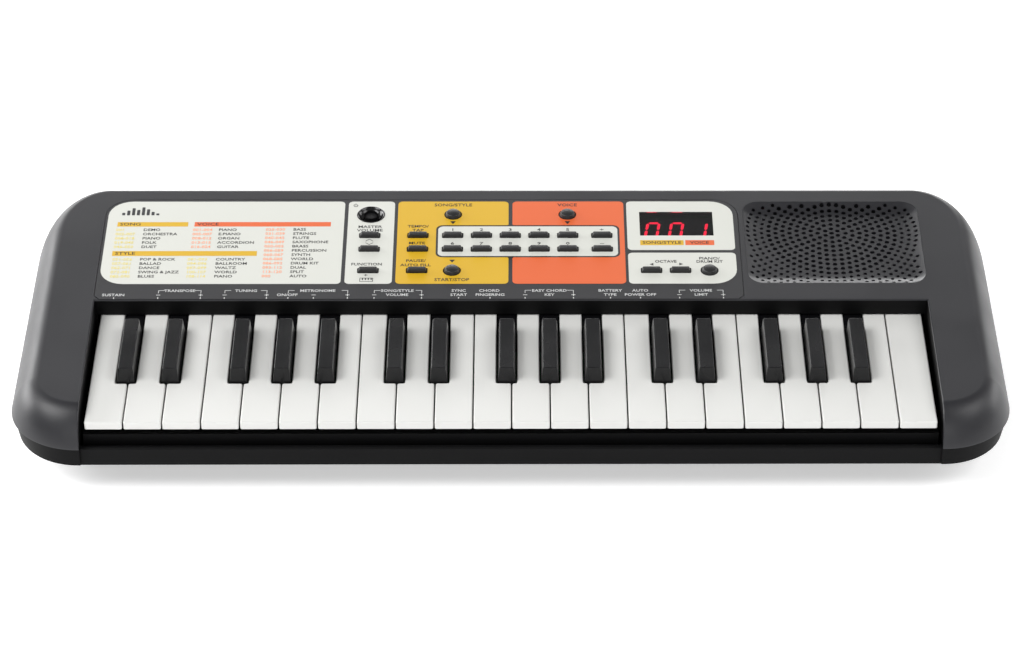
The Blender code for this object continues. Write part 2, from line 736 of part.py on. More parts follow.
def make_black_keys():
    front = SLOT_Y - BLACK_REACH
    tail_top = KEY_TOP_Z - TAIL_DROP
    profile = key_profile(front + 0.1, [(front + 0.1, tail_top), (PIVOT_Y - 4, tail_top)])
    for note, octave, x in black_keys():
        name = f"black_key_{note}{octave}"
        left, right = x - BLACK_BASE / 2, x + BLACK_BASE / 2
        key = piece(name, prism_x(profile, left, right), EBONY, origin=(x, PIVOT_Y, PIVOT_Z))
        low = (left, front, KEY_TOP_Z - 2)
        high = (right, SLOT_Y - BLACK_REAR, KEY_TOP_Z + BLACK_RISE)
        cap = tapered_box(low, high, (BLACK_BASE - BLACK_TOP) / 2, BLACK_SLOPE, 0.2)
        join(key, tool(name + "_cap", cap))


# ---- buttons ----
def bar_corners(x, y, grow, low, high):
    """The two corners of an upright block as large as a bar button, or larger by grow."""
    half_x, half_y = BAR_BUTTON[0] / 2 + grow, BAR_BUTTON[1] / 2 + grow
    return (x - half_x, y - half_y, low), (x + half_x, y + half_y, high)


def stem_corners(x, y):
    return (x - 2, y - 1.5, -BUTTON_STEM_END), (x + 2, y + 1.5, FLANGE_TOP - BUTTON_FLANGE / 2)


def make_bar_button(name, place, panel):
    low, high = bar_corners(*place, 0, FLANGE_TOP - BUTTON_FLANGE / 2, BUTTON_RISE)
    cap = tapered_box(low, high, BUTTON_TAPER, BUTTON_LEAN, BUTTON_LEAN)
    button = piece(name, cap, RUBBER, panel, origin=(*place, 0))
    lip = BUTTON_ROOM + FLANGE_LIP
    flange = box(bar_corners(*place, lip, FLANGE_TOP - BUTTON_FLANGE, FLANGE_TOP))
    join(button, tool(name + "_flange", flange, panel))
    join(button, tool(name + "_stem", box(stem_corners(*place)), panel))


def make_round_button(name, place, radius, rise, panel, flange_top=FLANGE_TOP, flange_thick=BUTTON_FLANGE):
    cap = cylinder(place, radius, flange_top - flange_thick / 2, rise, segments=20)
    button = piece(name, cap, RUBBER, panel, origin=(*place, 0))
    lip = BUTTON_ROOM + FLANGE_LIP
    flange = cylinder(place, radius + lip, flange_top - flange_thick, flange_top, segments=16)
    join(button, tool(name + "_flange", flange, panel))
    stem = cylinder(place, 2, -BUTTON_STEM_END, flange_top - flange_thick / 2, segments=8)
    join(button, tool(name + "_stem", stem, panel))


def make_power_button(panel):
    """A flat button at the bottom of its dish."""
    top, thick = -POWER_BOSS_DEPTH - GAP, BUTTON_FLANGE / 2
    size = (POWER_BUTTON_RADIUS, POWER_BUTTON_TOP)
    make_round_button("power_button", POWER_BUTTON, *size, panel, top, thick)


def make_keypad(panel):
    """Twelve tops on one moulded web."""
    lip = BUTTON_ROOM + FLANGE_LIP
    low = bar_corners(DIGIT_COLUMNS[0], ROW_LOWER, lip, FLANGE_TOP - BUTTON_FLANGE, FLANGE_TOP)[0]
    high = bar_corners(DIGIT_COLUMNS[-1], ROW_UPPER, lip, FLANGE_TOP - BUTTON_FLANGE, FLANGE_TOP)[1]
    middle = ((low[0] + high[0]) / 2, (ROW_LOWER + ROW_UPPER) / 2, 0)
    web = piece("number_keypad", box((low, high)), RUBBER, panel, origin=middle)
    tops = bmesh.new()
    for x, y in keypad_places():
        corners = bar_corners(x, y, 0, FLANGE_TOP - BUTTON_FLANGE / 2, BUTTON_RISE)
        add_tapered_box(tops, *corners, BUTTON_TAPER, BUTTON_LEAN, BUTTON_LEAN)
    join(web, tool("keypad_tops", tops, panel))
    stems = box(*[stem_corners(x, y) for x, y in keypad_places()])
    join(web, tool("keypad_stems", stems, panel))


def make_panel_sheet(panel):
    power = round_hole(POWER_BUTTON, POWER_DISH_RADIUS, 24)
    outlines = [sheet_outline()] + button_holes() + [power]
    piece("panel_sheet", plate(outlines, -SHEET_THICK, 0), PRINT, panel)


# ---- inside ----
def make_main_board(panel):
    left = -POWER_DISH_RADIUS + POWER_BUTTON[0] - 4
    base = -BOARD_TOP - BOARD_THICK
    sheet = ((left, ROW_FRONT - 6, base), (SHEET_RIGHT - 6, SHEET_BACK - 3, -BOARD_TOP))
    board = piece("main_board", box(sheet), FIBREGLASS, panel)
    chips = box(
        ((-12, 62, base - 2.2), (8, 80, base + 0.5)),
        ((30, 40, base - 1.6), (42, 52, base + 0.5)),
        ((-60, 58, base - 8), (-48, 70, base + 0.5)),
    )
    join(board, tool("board_chips", chips, panel))
    bodies = bmesh.new()
    bores = bmesh.new()
    board_back = SLOT_Y + SHEET_BACK
    for x in SOCKET_X.values():
        half = SOCKET_BODY / 2
        back = BACK_Y - WALL - 0.6
        low = (x - half, board_back - 14, SOCKET_Z - half)
        add_box(bodies, low, (x + half, back, surface_z(board_back - 14) - BOARD_TOP - BOARD_THICK / 2))
        add_cylinder(bores, (x, SOCKET_Z), SOCKET_BORE_RADIUS, back - SOCKET_DEPTH, back + 5, "Y")
    join(board, tool("socket_bodies", bodies))
    cut(board, tool("socket_bores", bores))


def make_display(panel):
    low = (WINDOW[0] + 0.5, WINDOW[1] + 0.5, -BOARD_TOP + GAP)
    high = (WINDOW[2] - 0.5, WINDOW[3] - 0.5, -SHEET_THICK - GAP - 1.4)
    piece("display_module", box((low, high)), LED_HOUSING, panel)


def make_speaker(panel):
    """A turned basket: flange and open cone in front, magnet behind."""
    front = -GRILLE_DEPTH - GRILLE_WALL - GAP
    profile = [
        (SPEAKER_RADIUS, front),
        (SPEAKER_RADIUS, front - 2),
        (SPEAKER_RADIUS - 3, front - 2.2),
        (SPEAKER_RADIUS * 0.66, front - 6.5),
        (MAGNET_RADIUS, front - SPEAKER_DEPTH * 0.5),
        (MAGNET_RADIUS, front - SPEAKER_DEPTH),
        (0, front - SPEAKER_DEPTH),
        (0, front - SPEAKER_DEPTH * 0.36),
        (8, front - SPEAKER_DEPTH * 0.33),
        (SPEAKER_RADIUS - 6, front - 1.2),
        (SPEAKER_RADIUS - 4, front),
    ]
    mesh = bpy.data.meshes.new("speaker")
    points = [(r * MM, 0, z * MM) for r, z in profile]
    edges = [(i, (i + 1) % len(points)) for i in range(len(points))]
    edges.remove((6, 7))
    mesh.from_pydata(points, edges, [])
    speaker = bpy.data.objects.new("speaker", mesh)
    PARTS.objects.link(speaker)
    speaker.parent = panel
    speaker.location = (GRILLE_MIDDLE[0] * MM, GRILLE_MIDDLE[1] * MM, 0)
    mesh.materials.append(STEEL)
    screw = speaker.modifiers.new("turn", "SCREW")
    screw.steps = 28
    screw.render_steps = 28
    screw.use_merge_vertices = True
    screw.merge_threshold = 0.00001
    screw.use_smooth_shade = False


def make_key_frame():
    half = SLOT_HALF - 1.5
    front, back = KEY_FRONT_Y + 2, PIVOT_Y + RAIL_WIDTH / 2
    deck_top = FRAME_DECK_Z + FRAME_DECK_THICK
    stop_z = KEY_LOW_Z - 4.3
    profile = [
        (front, FRAME_DECK_Z),
        (back, FRAME_DECK_Z),
        (back, PIVOT_Z - 1),
        (back - RAIL_WIDTH, PIVOT_Z - 1),
        (back - RAIL_WIDTH, deck_top),
        (front + RAIL_WIDTH, deck_top),
        (front + RAIL_WIDTH, stop_z),
        (front, stop_z),
    ]
    frame = piece("key_frame", prism_x(profile, -half, half), CHASSIS)
    saddle = cylinder((PIVOT_Y, PIVOT_Z), KNUCKLE_RADIUS + GAP, -half - 5, half + 5, "X", segments=24)
    cut(frame, tool("pivot_saddle", saddle))


def make_contact_board():
    """The board under the keys with its rubber strip: one low dome under each key's stem."""
    width, thick = CONTACT_BOARD
    half = SLOT_HALF - 3
    low = FRAME_DECK_Z + FRAME_DECK_THICK + GAP
    sheet = ((-half, STEM_Y - width / 2, low), (half, STEM_Y + width / 2, low + thick))
    board = piece("contact_board", box(sheet), FIBREGLASS)
    top, web = DOME_TOP_Z, low + thick + 1.4
    profile = [(-half + 2, low + thick / 2), (half - 2, low + thick / 2), (half - 2, web)]
    for x in key_middles()[::-1]:
        reach = DOME_WIDTH / 2
        profile += [(x + reach, web), (x + reach - 1, top), (x - reach + 1, top), (x - reach, web)]
    profile.append((-half + 2, web))
    join(board, tool("contact_rubber", prism_y(profile, STEM_Y - 5, STEM_Y + 5)))


def key_middles():
    """Where each key's stem presses: the middle of the key's tail."""
    blacks = [x for _, _, x in black_keys()]
    notch_half = BLACK_BASE / 2 + BLACK_ROOM
    middles = list(blacks)
    for _, _, x in white_keys():
        left, right = x + KEY_GAP / 2, x + KEY_PITCH - KEY_GAP / 2
        for black in blacks:
            if black - notch_half < left < black + notch_half:
                left = black + notch_half
            if black - notch_half < right < black + notch_half:
                right = black - notch_half
        middles.append((left + right) / 2)
    return sorted(middles)


def main():
    panel = bpy.data.objects.new("panel_frame", None)
    PARTS.objects.link(panel)
    panel.location = Vector((0, SLOT_Y, PANEL_FRONT_Z)) * MM
    panel.rotation_euler = (math.radians(PANEL_TILT), 0, 0)
    make_top_case(panel)
    make_bottom_case()
    make_battery_cover()
    make_white_keys()
    make_black_keys()
    for name, place in BAR_BUTTONS.items():
        make_bar_button(name, place, panel)
    for name, place in ROUND_BUTTONS.items():
        make_round_button(name, place, ROUND_BUTTON_RADIUS, BUTTON_RISE, panel)
    make_power_button(panel)
    make_keypad(panel)
    make_panel_sheet(panel)
    make_main_board(panel)
    make_display(panel)
    make_speaker(panel)
    make_key_frame()
    make_contact_board()


main()
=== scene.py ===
# %% [markdown]
# # A toy electronic keyboard, dressed for a picture
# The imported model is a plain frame: every key and button is in its place, but nothing has the
# soft edges, the printing and the surface that moulded plastic has. This lesson loads that frame
# and builds each visible piece over it. Every place comes from the frame, so nothing needs fitting.

# %% Load the frame and keep its box
import json
import math

import bmesh
import bpy
import numpy as np
from mathutils import Matrix, Vector, geometry


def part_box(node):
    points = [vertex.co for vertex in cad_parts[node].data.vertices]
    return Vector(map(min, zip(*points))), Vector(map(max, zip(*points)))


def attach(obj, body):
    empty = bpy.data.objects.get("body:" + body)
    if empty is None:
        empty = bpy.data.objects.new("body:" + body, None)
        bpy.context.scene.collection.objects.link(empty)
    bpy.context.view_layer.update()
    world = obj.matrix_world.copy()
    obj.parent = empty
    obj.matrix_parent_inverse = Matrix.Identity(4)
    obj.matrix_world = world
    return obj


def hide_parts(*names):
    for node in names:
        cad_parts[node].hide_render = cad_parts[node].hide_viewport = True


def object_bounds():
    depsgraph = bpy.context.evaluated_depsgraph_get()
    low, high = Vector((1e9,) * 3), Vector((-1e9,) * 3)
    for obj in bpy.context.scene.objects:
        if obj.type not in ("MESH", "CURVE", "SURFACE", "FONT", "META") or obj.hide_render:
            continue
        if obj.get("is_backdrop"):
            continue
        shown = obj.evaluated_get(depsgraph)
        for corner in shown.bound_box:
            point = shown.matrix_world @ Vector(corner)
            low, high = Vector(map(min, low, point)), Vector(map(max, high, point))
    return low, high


MM = 0.001
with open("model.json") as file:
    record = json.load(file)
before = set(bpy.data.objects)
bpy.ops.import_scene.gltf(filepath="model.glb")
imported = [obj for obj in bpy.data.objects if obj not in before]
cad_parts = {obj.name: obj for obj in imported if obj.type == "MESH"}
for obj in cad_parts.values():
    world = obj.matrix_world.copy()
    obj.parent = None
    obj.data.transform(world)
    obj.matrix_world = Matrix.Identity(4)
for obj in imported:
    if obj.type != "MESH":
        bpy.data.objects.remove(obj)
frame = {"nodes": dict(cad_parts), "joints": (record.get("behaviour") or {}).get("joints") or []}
CAD_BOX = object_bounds()
print("box in mm:", [round((high - low) / MM, 1) for low, high in zip(*CAD_BOX)])


# %% [markdown]
# ## Measures taken from the frame
# A real keyboard is designed round two planes: the tops of the keys, and the panel, which leans
# back a little. The buttons slide straight into the panel, so their joint axis is the panel's
# normal, and the printed sheet gives a point on it. With those two we can speak of panel places as
# (along, up the panel, out of it) in millimetres, as the designer would.

# %% Read the planes and the main sizes
def low_high(name):
    """A node's box in millimetres."""
    low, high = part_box(name)
    return low / MM, high / MM


press = next(j for j in frame["joints"] if j["name"] == "mute_button_press")
PANEL_TILT = math.atan2(abs(press["axis"][1]), abs(press["axis"][2]))
SHEET_THICK = 0.8
SHEET_FRONT_MARGIN = 0.9
SHEET_LOW, SHEET_HIGH = low_high("panel_sheet")
panel_edge = Vector((0, SHEET_LOW.y, SHEET_LOW.z + SHEET_THICK * math.cos(PANEL_TILT)))
PANEL = (
    Matrix.Translation(panel_edge)
    @ Matrix.Rotation(PANEL_TILT, 4, "X")
    @ Matrix.Translation((0, -SHEET_FRONT_MARGIN, 0))
)
SLOT_Y, PANEL_FRONT_Z = PANEL.translation.y, PANEL.translation.z
CASE_LOW, CASE_HIGH = low_high("top_case")
HALF_WIDTH = CASE_HIGH.x
BACK_Y = CASE_HIGH.y
SEAM_Z = CASE_LOW.z
KEY_GAP = 0.7
SLOT_SIDE_GAP = 2.4
FIRST_KEY = low_high("white_key_c2")
LAST_KEY = low_high("white_key_c5")
SLOT_HALF = LAST_KEY[1].x + KEY_GAP / 2 + SLOT_SIDE_GAP
KEY_TOP_Z = FIRST_KEY[1].z


def on_panel(name):
    """Where a node's middle lies on the panel: (along, up) in millimetres."""
    low, high = low_high(name)
    place = PANEL.inverted() @ ((low + high) / 2)
    return place.x, place.y


print(f"panel tilt {math.degrees(PANEL_TILT):.2f} degrees, slot half width {SLOT_HALF:.2f} mm")
print(f"slot wall y {SLOT_Y:.2f}, panel front z {PANEL_FRONT_Z:.2f}, key tops z {KEY_TOP_Z:.2f}")


# %% [markdown]
# ## The camera
# The picture is taken from in front and above with a long lens, which keeps the two ends of the
# keyboard nearly parallel. We could aim a camera with a constraint, but three angles and a distance
# say the same thing in numbers that can be read.

# %% Place the camera
VIEW_TARGET = Vector((36.949, 11.552, 25.08)) * MM
VIEW_DISTANCE = 1.956447
elevation, yaw, roll = (math.radians(angle) for angle in (35.077, -1.194, 0.63))
back = Vector(
    (math.sin(yaw) * math.cos(elevation), -math.cos(yaw) * math.cos(elevation), math.sin(elevation))
)
right = Vector((math.cos(yaw), math.sin(yaw), 0))
turned_right = Matrix.Rotation(roll, 3, back) @ right
camera_up = back.cross(turned_right)
camera = bpy.data.objects.new("camera", bpy.data.cameras.new("camera"))
bpy.context.scene.collection.objects.link(camera)
camera.data.sensor_width = 36
camera.data.lens = 131.05
camera.data.shift_x = -0.06868
camera.data.clip_end = 20
turn = Matrix((turned_right, camera_up, back)).transposed().to_4x4()
camera.matrix_world = Matrix.Translation(VIEW_TARGET + back * VIEW_DISTANCE) @ turn
bpy.context.scene.camera = camera
print("camera at", [round(value, 3) for value in camera.matrix_world.translation])


# %% [markdown]
# ## How a finish is written down
# Every surface here is a shader tree. One helper adds a node, sets it and wires it, so each
# finish reads as a list of what feeds what. Colours are written as the hex values that a paint
# chart gives and turned to linear light by one function.

# %% Helpers for materials
def linear(hex_colour, alpha=1.0):
    """An sRGB hex colour as linear red, green, blue and alpha."""
    channels = [int(hex_colour[index : index + 2], 16) / 255 for index in (1, 3, 5)]
    straight = [c / 12.92 if c <= 0.04045 else ((c + 0.055) / 1.055) ** 2.4 for c in channels]
    return (*straight, alpha)


def node(tree, kind, sockets=None, **settings):
    """Adds a shader node, with its settings, and wires or sets its sockets."""
    made = tree.nodes.new("ShaderNode" + kind)
    for name, value in settings.items():
        setattr(made, name, value)
    for name, value in (sockets or {}).items():
        if isinstance(value, bpy.types.NodeSocket):
            tree.links.new(value, made.inputs[name])
        else:
            made.inputs[name].default_value = value
    return made


def surface(name, **sockets):
    """A new material with one Principled shader, whose uniform values are set on its sockets."""
    material = bpy.data.materials.new(name)
    material.use_nodes = True
    tree = material.node_tree
    tree.nodes.clear()
    values = {key.replace("_", " "): value for key, value in sockets.items()}
    shader = node(tree, "BsdfPrincipled", values)
    node(tree, "OutputMaterial", {"Surface": shader.outputs["BSDF"]})
    material.diffuse_color = sockets.get("Base_Color", (0.5, 0.5, 0.5, 1))
    return material, tree, shader


def clouds(tree, size, detail=2.0):
    """The value of a cloudy noise over the object, with clouds about so many millimetres wide."""
    place = node(tree, "TexCoord").outputs["Object"]
    sockets = {"Vector": place, "Scale": 1 / (size * MM), "Detail": detail}
    return node(tree, "TexNoise", sockets).outputs["Fac"]


def blend(tree, value, first, second, target):
    """Feeds a shader's socket with a mix of two colours, as a value says."""
    tone = node(tree, "MixRGB", {"Fac": value, "Color1": first, "Color2": second})
    tree.links.new(tone.outputs["Color"], target)


def bumped(tree, shader, height, depth):
    """Raises a surface by a value, so many millimetres at the most."""
    bump = node(tree, "Bump", {"Height": height, "Distance": depth * MM})
    tree.links.new(bump.outputs["Normal"], shader.inputs["Normal"])


# %% [markdown]
# ## Moulded plastic
# Nearly everything here is ABS, a tough plastic shot into a steel mould. The steel is spark
# eroded or polished, and the plastic copies it: a fine pebble on the case, a near mirror on the
# keys. A single colour would look like a drawing, so each plastic gets three things: a slow drift
# in colour and gloss where the melt cooled unevenly, and the pebble of the mould as a bump.
# The pebble of a real case is 0.1 to 0.2 mm across, too fine to show here, so it is drawn coarser.

# %% The recipe for moulded plastic
def moulded(name, colour, roughness, pebble=0.5, depth=0.01, drift=0.10, gloss_drift=0.05, **sockets):
    """A plastic with a pebble of so many millimetres, so deep, and a slow drift of tone."""
    material, tree, shader = surface(name, Base_Color=linear(colour), IOR=1.5, **sockets)
    slow = clouds(tree, 35)
    base = linear(colour)
    darker = (*[channel * (1 - drift) for channel in base[:3]], 1)
    lighter = (*[min(1, channel * (1 + drift)) for channel in base[:3]], 1)
    blend(tree, slow, darker, lighter, shader.inputs["Base Color"])
    limits = {"From Min": 0.2, "From Max": 0.8}
    limits.update({"To Min": roughness - gloss_drift, "To Max": roughness + gloss_drift})
    gloss = node(tree, "MapRange", {"Value": slow, **limits}, interpolation_type="SMOOTHSTEP")
    tree.links.new(gloss.outputs["Result"], shader.inputs["Roughness"])
    bumped(tree, shader, clouds(tree, pebble, 3.0), depth)
    return material


# Charcoal ABS from a spark-eroded mould: satin, with broad soft reflections.
CASE_ABS = moulded("charcoal_abs_spark_eroded", "#1e1e22", 0.42, pebble=0.6, depth=0.014)
# Black ABS of the lower case, and a darker, duller black on the inside walls of the key slot: painted shade.
LOWER_ABS = moulded("black_abs_fine_texture", "#0a0a0b", 0.5, pebble=0.6, depth=0.012, Specular_IOR_Level=0.1)
SLOT_PAINTED_SHADE_ABS = moulded("slot_painted_shade_black_abs", "#050506", 0.6, pebble=0.6, depth=0.01, Specular_IOR_Level=0.15)
# White ABS from a polished mould: bright, slightly warm, with clear highlights on its edges.
WHITE_KEY_ABS = moulded(
    "white_abs_polished", "#dadad7", 0.3, pebble=1.2, depth=0.003, drift=0.01, gloss_drift=0.01
)
# Black ABS of the sharps: polished flanks, and a top that catches a long soft reflection.
BLACK_KEY_ABS = moulded(
    "black_abs_polished", "#0c0c0e", 0.26, pebble=0.8, depth=0.004, gloss_drift=0.04,
    Specular_IOR_Level=0.35,
)
# Silicone-like black caps of the buttons: softer sheen than the case.
BUTTON_RUBBER = moulded("button_cap_matt_abs", "#1a1a1b", 0.46, pebble=0.35, depth=0.006)
BEZEL_ABS = moulded("bezel_gloss_black_abs", "#060607", 0.22, pebble=1.0, depth=0.001)
# Of the frame that holds the keys only the gaps show a little, so it is dull, nearly without shine.
CHASSIS_ABS = moulded(
    "chassis_abs_recycled_black", "#0b0b0c", 0.6, pebble=0.8, depth=0.02, Specular_IOR_Level=0.1
)
FOOT_RUBBER = moulded("foot_rubber_moulded", "#161616", 0.8, pebble=0.4, depth=0.02)
print("plastics:", [m.name for m in bpy.data.materials if "abs" in m.name])


# %% [markdown]
# ## Screen-printed film
# The panel is a polycarbonate film. Ink is squeezed through a screen in flat fields, dark ground
# first, then white, yellow and orange, and the letters last. Each layer of ink is a few hundredths
# of a millimetre proud and dries with a faint orange peel, so ink gets its own recipe: flat
# colour with that low, rolling bump.

# %% The recipe for printing ink
def ink(name, colour, roughness=0.42):
    """Screen ink on film: an even colour with a faint orange peel."""
    base = linear(colour)
    material, tree, shader = surface(name, Base_Color=base, IOR=1.52, Roughness=roughness)
    thin = (*[min(1, channel * 1.03 + 0.004) for channel in base[:3]], 1)
    blend(tree, clouds(tree, 20, 4.0), base, thin, shader.inputs["Base Color"])
    bumped(tree, shader, clouds(tree, 2.2, 1.0), 0.006)
    return material


GROUND_INK = ink("ink_charcoal_ground", "#1f1f22")
WHITE_INK = ink("ink_cool_white", "#cccdc6")
YELLOW_INK = ink("ink_mustard_yellow", "#cda316")
ORANGE_INK = ink("ink_warm_orange", "#d65f2c")
BLACK_INK = ink("ink_black_lettering", "#1f1f22")
PALE_INK = ink("ink_pale_grey_lettering", "#c9cac9")
FAINT_YELLOW_INK = ink("ink_faint_yellow_numbers", "#e0cf6a")
FAINT_ORANGE_INK = ink("ink_faint_orange_numbers", "#f09a72")
print("inks:", [m.name for m in bpy.data.materials if m.name.startswith("ink")])


# %% [markdown]
# ## Shapes from rings and outlines
# Moulded parts have no sharp corners, and a bevel tool often fails where many cuts meet. So most
# pieces here are lofts: an outline, repeated at several heights and drawn in a little at each one,
# gives a rounded edge that is even all round. Flat sheets with holes come from filled 2-D curves,
# and turned pieces from a profile spun round an axis. All sizes are in millimetres.

# %% Helpers for outlines
def arc(centre, radius, start, end, steps):
    """Points along a circle, between two angles in degrees."""
    angles = [math.radians(start + (end - start) * step / steps) for step in range(steps + 1)]
    return [(centre[0] + radius * math.cos(a), centre[1] + radius * math.sin(a)) for a in angles]


def circle(place, radius, steps=32):
    return arc(place, radius, 0, 360 - 360 / steps, steps - 1)


def filleted(corners, radii, steps=5):
    """A closed outline with each corner rounded. radii is one number, or one for each corner."""
    if not hasattr(radii, "__len__"):
        radii = [radii] * len(corners)
    points = []
    for index, corner in enumerate(corners):
        here = Vector(corner)
        before = (Vector(corners[index - 1]) - here).normalized()
        after = (Vector(corners[(index + 1) % len(corners)]) - here).normalized()
        radius = radii[index]
        if radius <= 0:
            points.append(tuple(here))
            continue
        half = before.angle(after) / 2
        centre = here + (before + after).normalized() * (radius / math.sin(half))
        start = here + before * (radius / math.tan(half)) - centre
        sweep = math.pi - 2 * half
        if before.cross(after) > 0:
            sweep = -sweep
        for step in range(steps + 1):
            spoke = Matrix.Rotation(sweep * step / steps, 2) @ start
            points.append(tuple(centre + spoke))
    return points


def rounded_box(left, low, right_side, high, radius, steps=5):
    return filleted([(left, low), (right_side, low), (right_side, high), (left, high)], radius, steps)


def drawn_in(outline, distance):
    """The outline, counter-clockwise, moved in by a distance all round."""
    points = np.array(outline, float)
    ahead = np.roll(points, -1, axis=0) - points
    ahead /= np.linalg.norm(ahead, axis=1, keepdims=True)
    inward = np.stack([-ahead[:, 1], ahead[:, 0]], axis=1)
    both = inward + np.roll(inward, 1, axis=0)
    both /= np.maximum((both**2).sum(1, keepdims=True), 0.2) / 2
    return [tuple(point) for point in points + both * distance]


square = rounded_box(-5, -5, 5, 5, 1)
print("an outline of", len(square), "points; drawn in:", np.round(drawn_in(square, 1)[0], 2))


# %% Helpers for meshes
def loft(rings):
    """A closed skin over a stack of rings, each a list of (x, y, z), from bottom to top."""
    bm = bmesh.new()
    rows = [[bm.verts.new(Vector(point) * MM) for point in ring] for ring in rings]
    for lower, upper in zip(rows, rows[1:]):
        for here in range(len(lower)):
            there = (here + 1) % len(lower)
            bm.faces.new((lower[here], lower[there], upper[there], upper[here]))
    bm.faces.new(rows[0][::-1])
    bm.faces.new(rows[-1])
    bmesh.ops.recalc_face_normals(bm, faces=bm.faces)
    return bm


def at(outline, height):
    """An outline as a ring at one height."""
    return [(x, y, height) for x, y in outline]


def edge_turns(steps):
    return [math.radians(90 * step / steps) for step in range(steps + 1)]


def rounded_top(outline, top, radius, steps=4):
    """The rings that round an outline's upper edge off."""
    rings = []
    for turn_angle in edge_turns(steps):
        inset = radius * (1 - math.cos(turn_angle))
        rings.append(at(drawn_in(outline, inset), top - radius * (1 - math.sin(turn_angle))))
    return rings


def plate(outlines, low, high):
    """A flat sheet between two heights: the first outline is its edge, the others are holes."""
    curve = bpy.data.curves.new("outline", "CURVE")
    curve.dimensions, curve.fill_mode = "2D", "BOTH"
    curve.extrude = (high - low) / 2 * MM
    for outline in outlines:
        spline = curve.splines.new("POLY")
        spline.points.add(len(outline) - 1)
        for point, (x, y) in zip(spline.points, outline):
            point.co = (x * MM, y * MM, 0, 1)
        spline.use_cyclic_u = True
    guide = bpy.data.objects.new("outline", curve)
    mesh = bpy.data.meshes.new_from_object(guide)
    bm = bmesh.new()
    bm.from_mesh(mesh)
    bmesh.ops.remove_doubles(bm, verts=bm.verts, dist=1e-7)
    bmesh.ops.translate(bm, verts=bm.verts, vec=(0, 0, (low + high) / 2 * MM))
    bmesh.ops.recalc_face_normals(bm, faces=bm.faces)
    bpy.data.meshes.remove(mesh)
    bpy.data.objects.remove(guide)
    bpy.data.curves.remove(curve)
    return bm


def turned(profile, place=(0, 0), steps=40):
    """A closed piece turned round an upright axis, from (radius, height) points, bottom first."""
    rings = [at(circle(place, max(radius, 0.01), steps), height) for radius, height in profile]
    return loft(rings)


def turned_ring(profile, place=(0, 0), steps=36):
    """A ring turned round an upright axis, from a closed run of (radius, height) points."""
    bm = bmesh.new()
    rows = [[bm.verts.new(Vector(p) * MM) for p in at(circle(place, r, steps), z)] for r, z in profile]
    for lower, upper in zip(rows, rows[1:] + rows[:1]):
        for here in range(steps):
            there = (here + 1) % steps
            bm.faces.new((lower[here], lower[there], upper[there], upper[here]))
    bmesh.ops.recalc_face_normals(bm, faces=bm.faces)
    return bm


def box(low, high):
    bm = bmesh.new()
    size = [(top - bottom) * MM for bottom, top in zip(low, high)]
    middle = [(top + bottom) / 2 * MM for bottom, top in zip(low, high)]
    matrix = Matrix.Translation(middle) @ Matrix.Diagonal((*size, 1))
    bmesh.ops.create_cube(bm, size=1, matrix=matrix)
    return bm


def gathered(parts):
    """Several meshes as one."""
    whole = bmesh.new()
    for bm in parts:
        mesh = bpy.data.meshes.new("part")
        bm.to_mesh(mesh)
        bm.free()
        whole.from_mesh(mesh)
        bpy.data.meshes.remove(mesh)
    return whole


TURN_X = Matrix(((0, 0, 1, 0), (1, 0, 0, 0), (0, 1, 0, 0), (0, 0, 0, 1)))  # (x, y, z) to (z, x, y)
TURN_Y = Matrix(((1, 0, 0, 0), (0, 0, 1, 0), (0, -1, 0, 0), (0, 0, 0, 1)))  # upright to along Y


def moved(bm, matrix):
    """The mesh, moved by a matrix whose shift is in millimetres."""
    scaled = matrix.copy()
    scaled.translation = matrix.translation * MM
    bmesh.ops.transform(bm, matrix=scaled, verts=bm.verts)
    return bm


def prism_x(profile, low, high):
    """A side view of (y, z) points, drawn out along X."""
    return moved(plate([profile], low, high), TURN_X)


# %% Helpers for pieces
PIECES = {}


def piece(name, bm, material, body="case", smooth=35, replaces=()):
    """A named piece that rides on a body, smooth but for edges sharper than an angle."""
    mesh = bpy.data.meshes.new(name)
    bm.to_mesh(mesh)
    bm.free()
    obj = bpy.data.objects.new(name, mesh)
    bpy.context.scene.collection.objects.link(obj)
    mesh.materials.append(material)
    shade(obj, smooth)
    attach(obj, body)
    if replaces:
        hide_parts(*replaces)
    PIECES[name] = obj
    return obj


def shade(obj, angle):
    obj.data.polygons.foreach_set("use_smooth", [True] * len(obj.data.polygons))
    obj.data.set_sharp_from_angle(angle=math.radians(angle))


def settle(obj):
    """Turns an object's modifiers into plain mesh."""
    graph = bpy.context.evaluated_depsgraph_get()
    mesh = bpy.data.meshes.new_from_object(obj.evaluated_get(graph), depsgraph=graph)
    obj.modifiers.clear()
    old, obj.data = obj.data, mesh
    bpy.data.meshes.remove(old)


def boolean(obj, bm, operation="DIFFERENCE"):
    """Cuts a mesh from an object, or joins it, and settles the result."""
    mesh = bpy.data.meshes.new("tool")
    bm.to_mesh(mesh)
    bm.free()
    tool = bpy.data.objects.new("tool", mesh)
    bpy.context.scene.collection.objects.link(tool)
    modifier = obj.modifiers.new("cut", "BOOLEAN")
    modifier.solver, modifier.operation, modifier.object = "EXACT", operation, tool
    settle(obj)
    bpy.data.objects.remove(tool)
    bpy.data.meshes.remove(mesh)


def cut_away(obj, other):
    """Cuts one piece with another, which is used up."""
    bm = bmesh.new()
    bm.from_mesh(other.data)
    boolean(obj, bm)
    del PIECES[other.name]
    bpy.data.objects.remove(other)


def weigh_normals(obj):
    """Lets large flat faces rule the shading, so that flats stay flat beside rounded edges."""
    modifier = obj.modifiers.new("weigh", "WEIGHTED_NORMAL")
    modifier.keep_sharp = True
    modifier.weight = 80


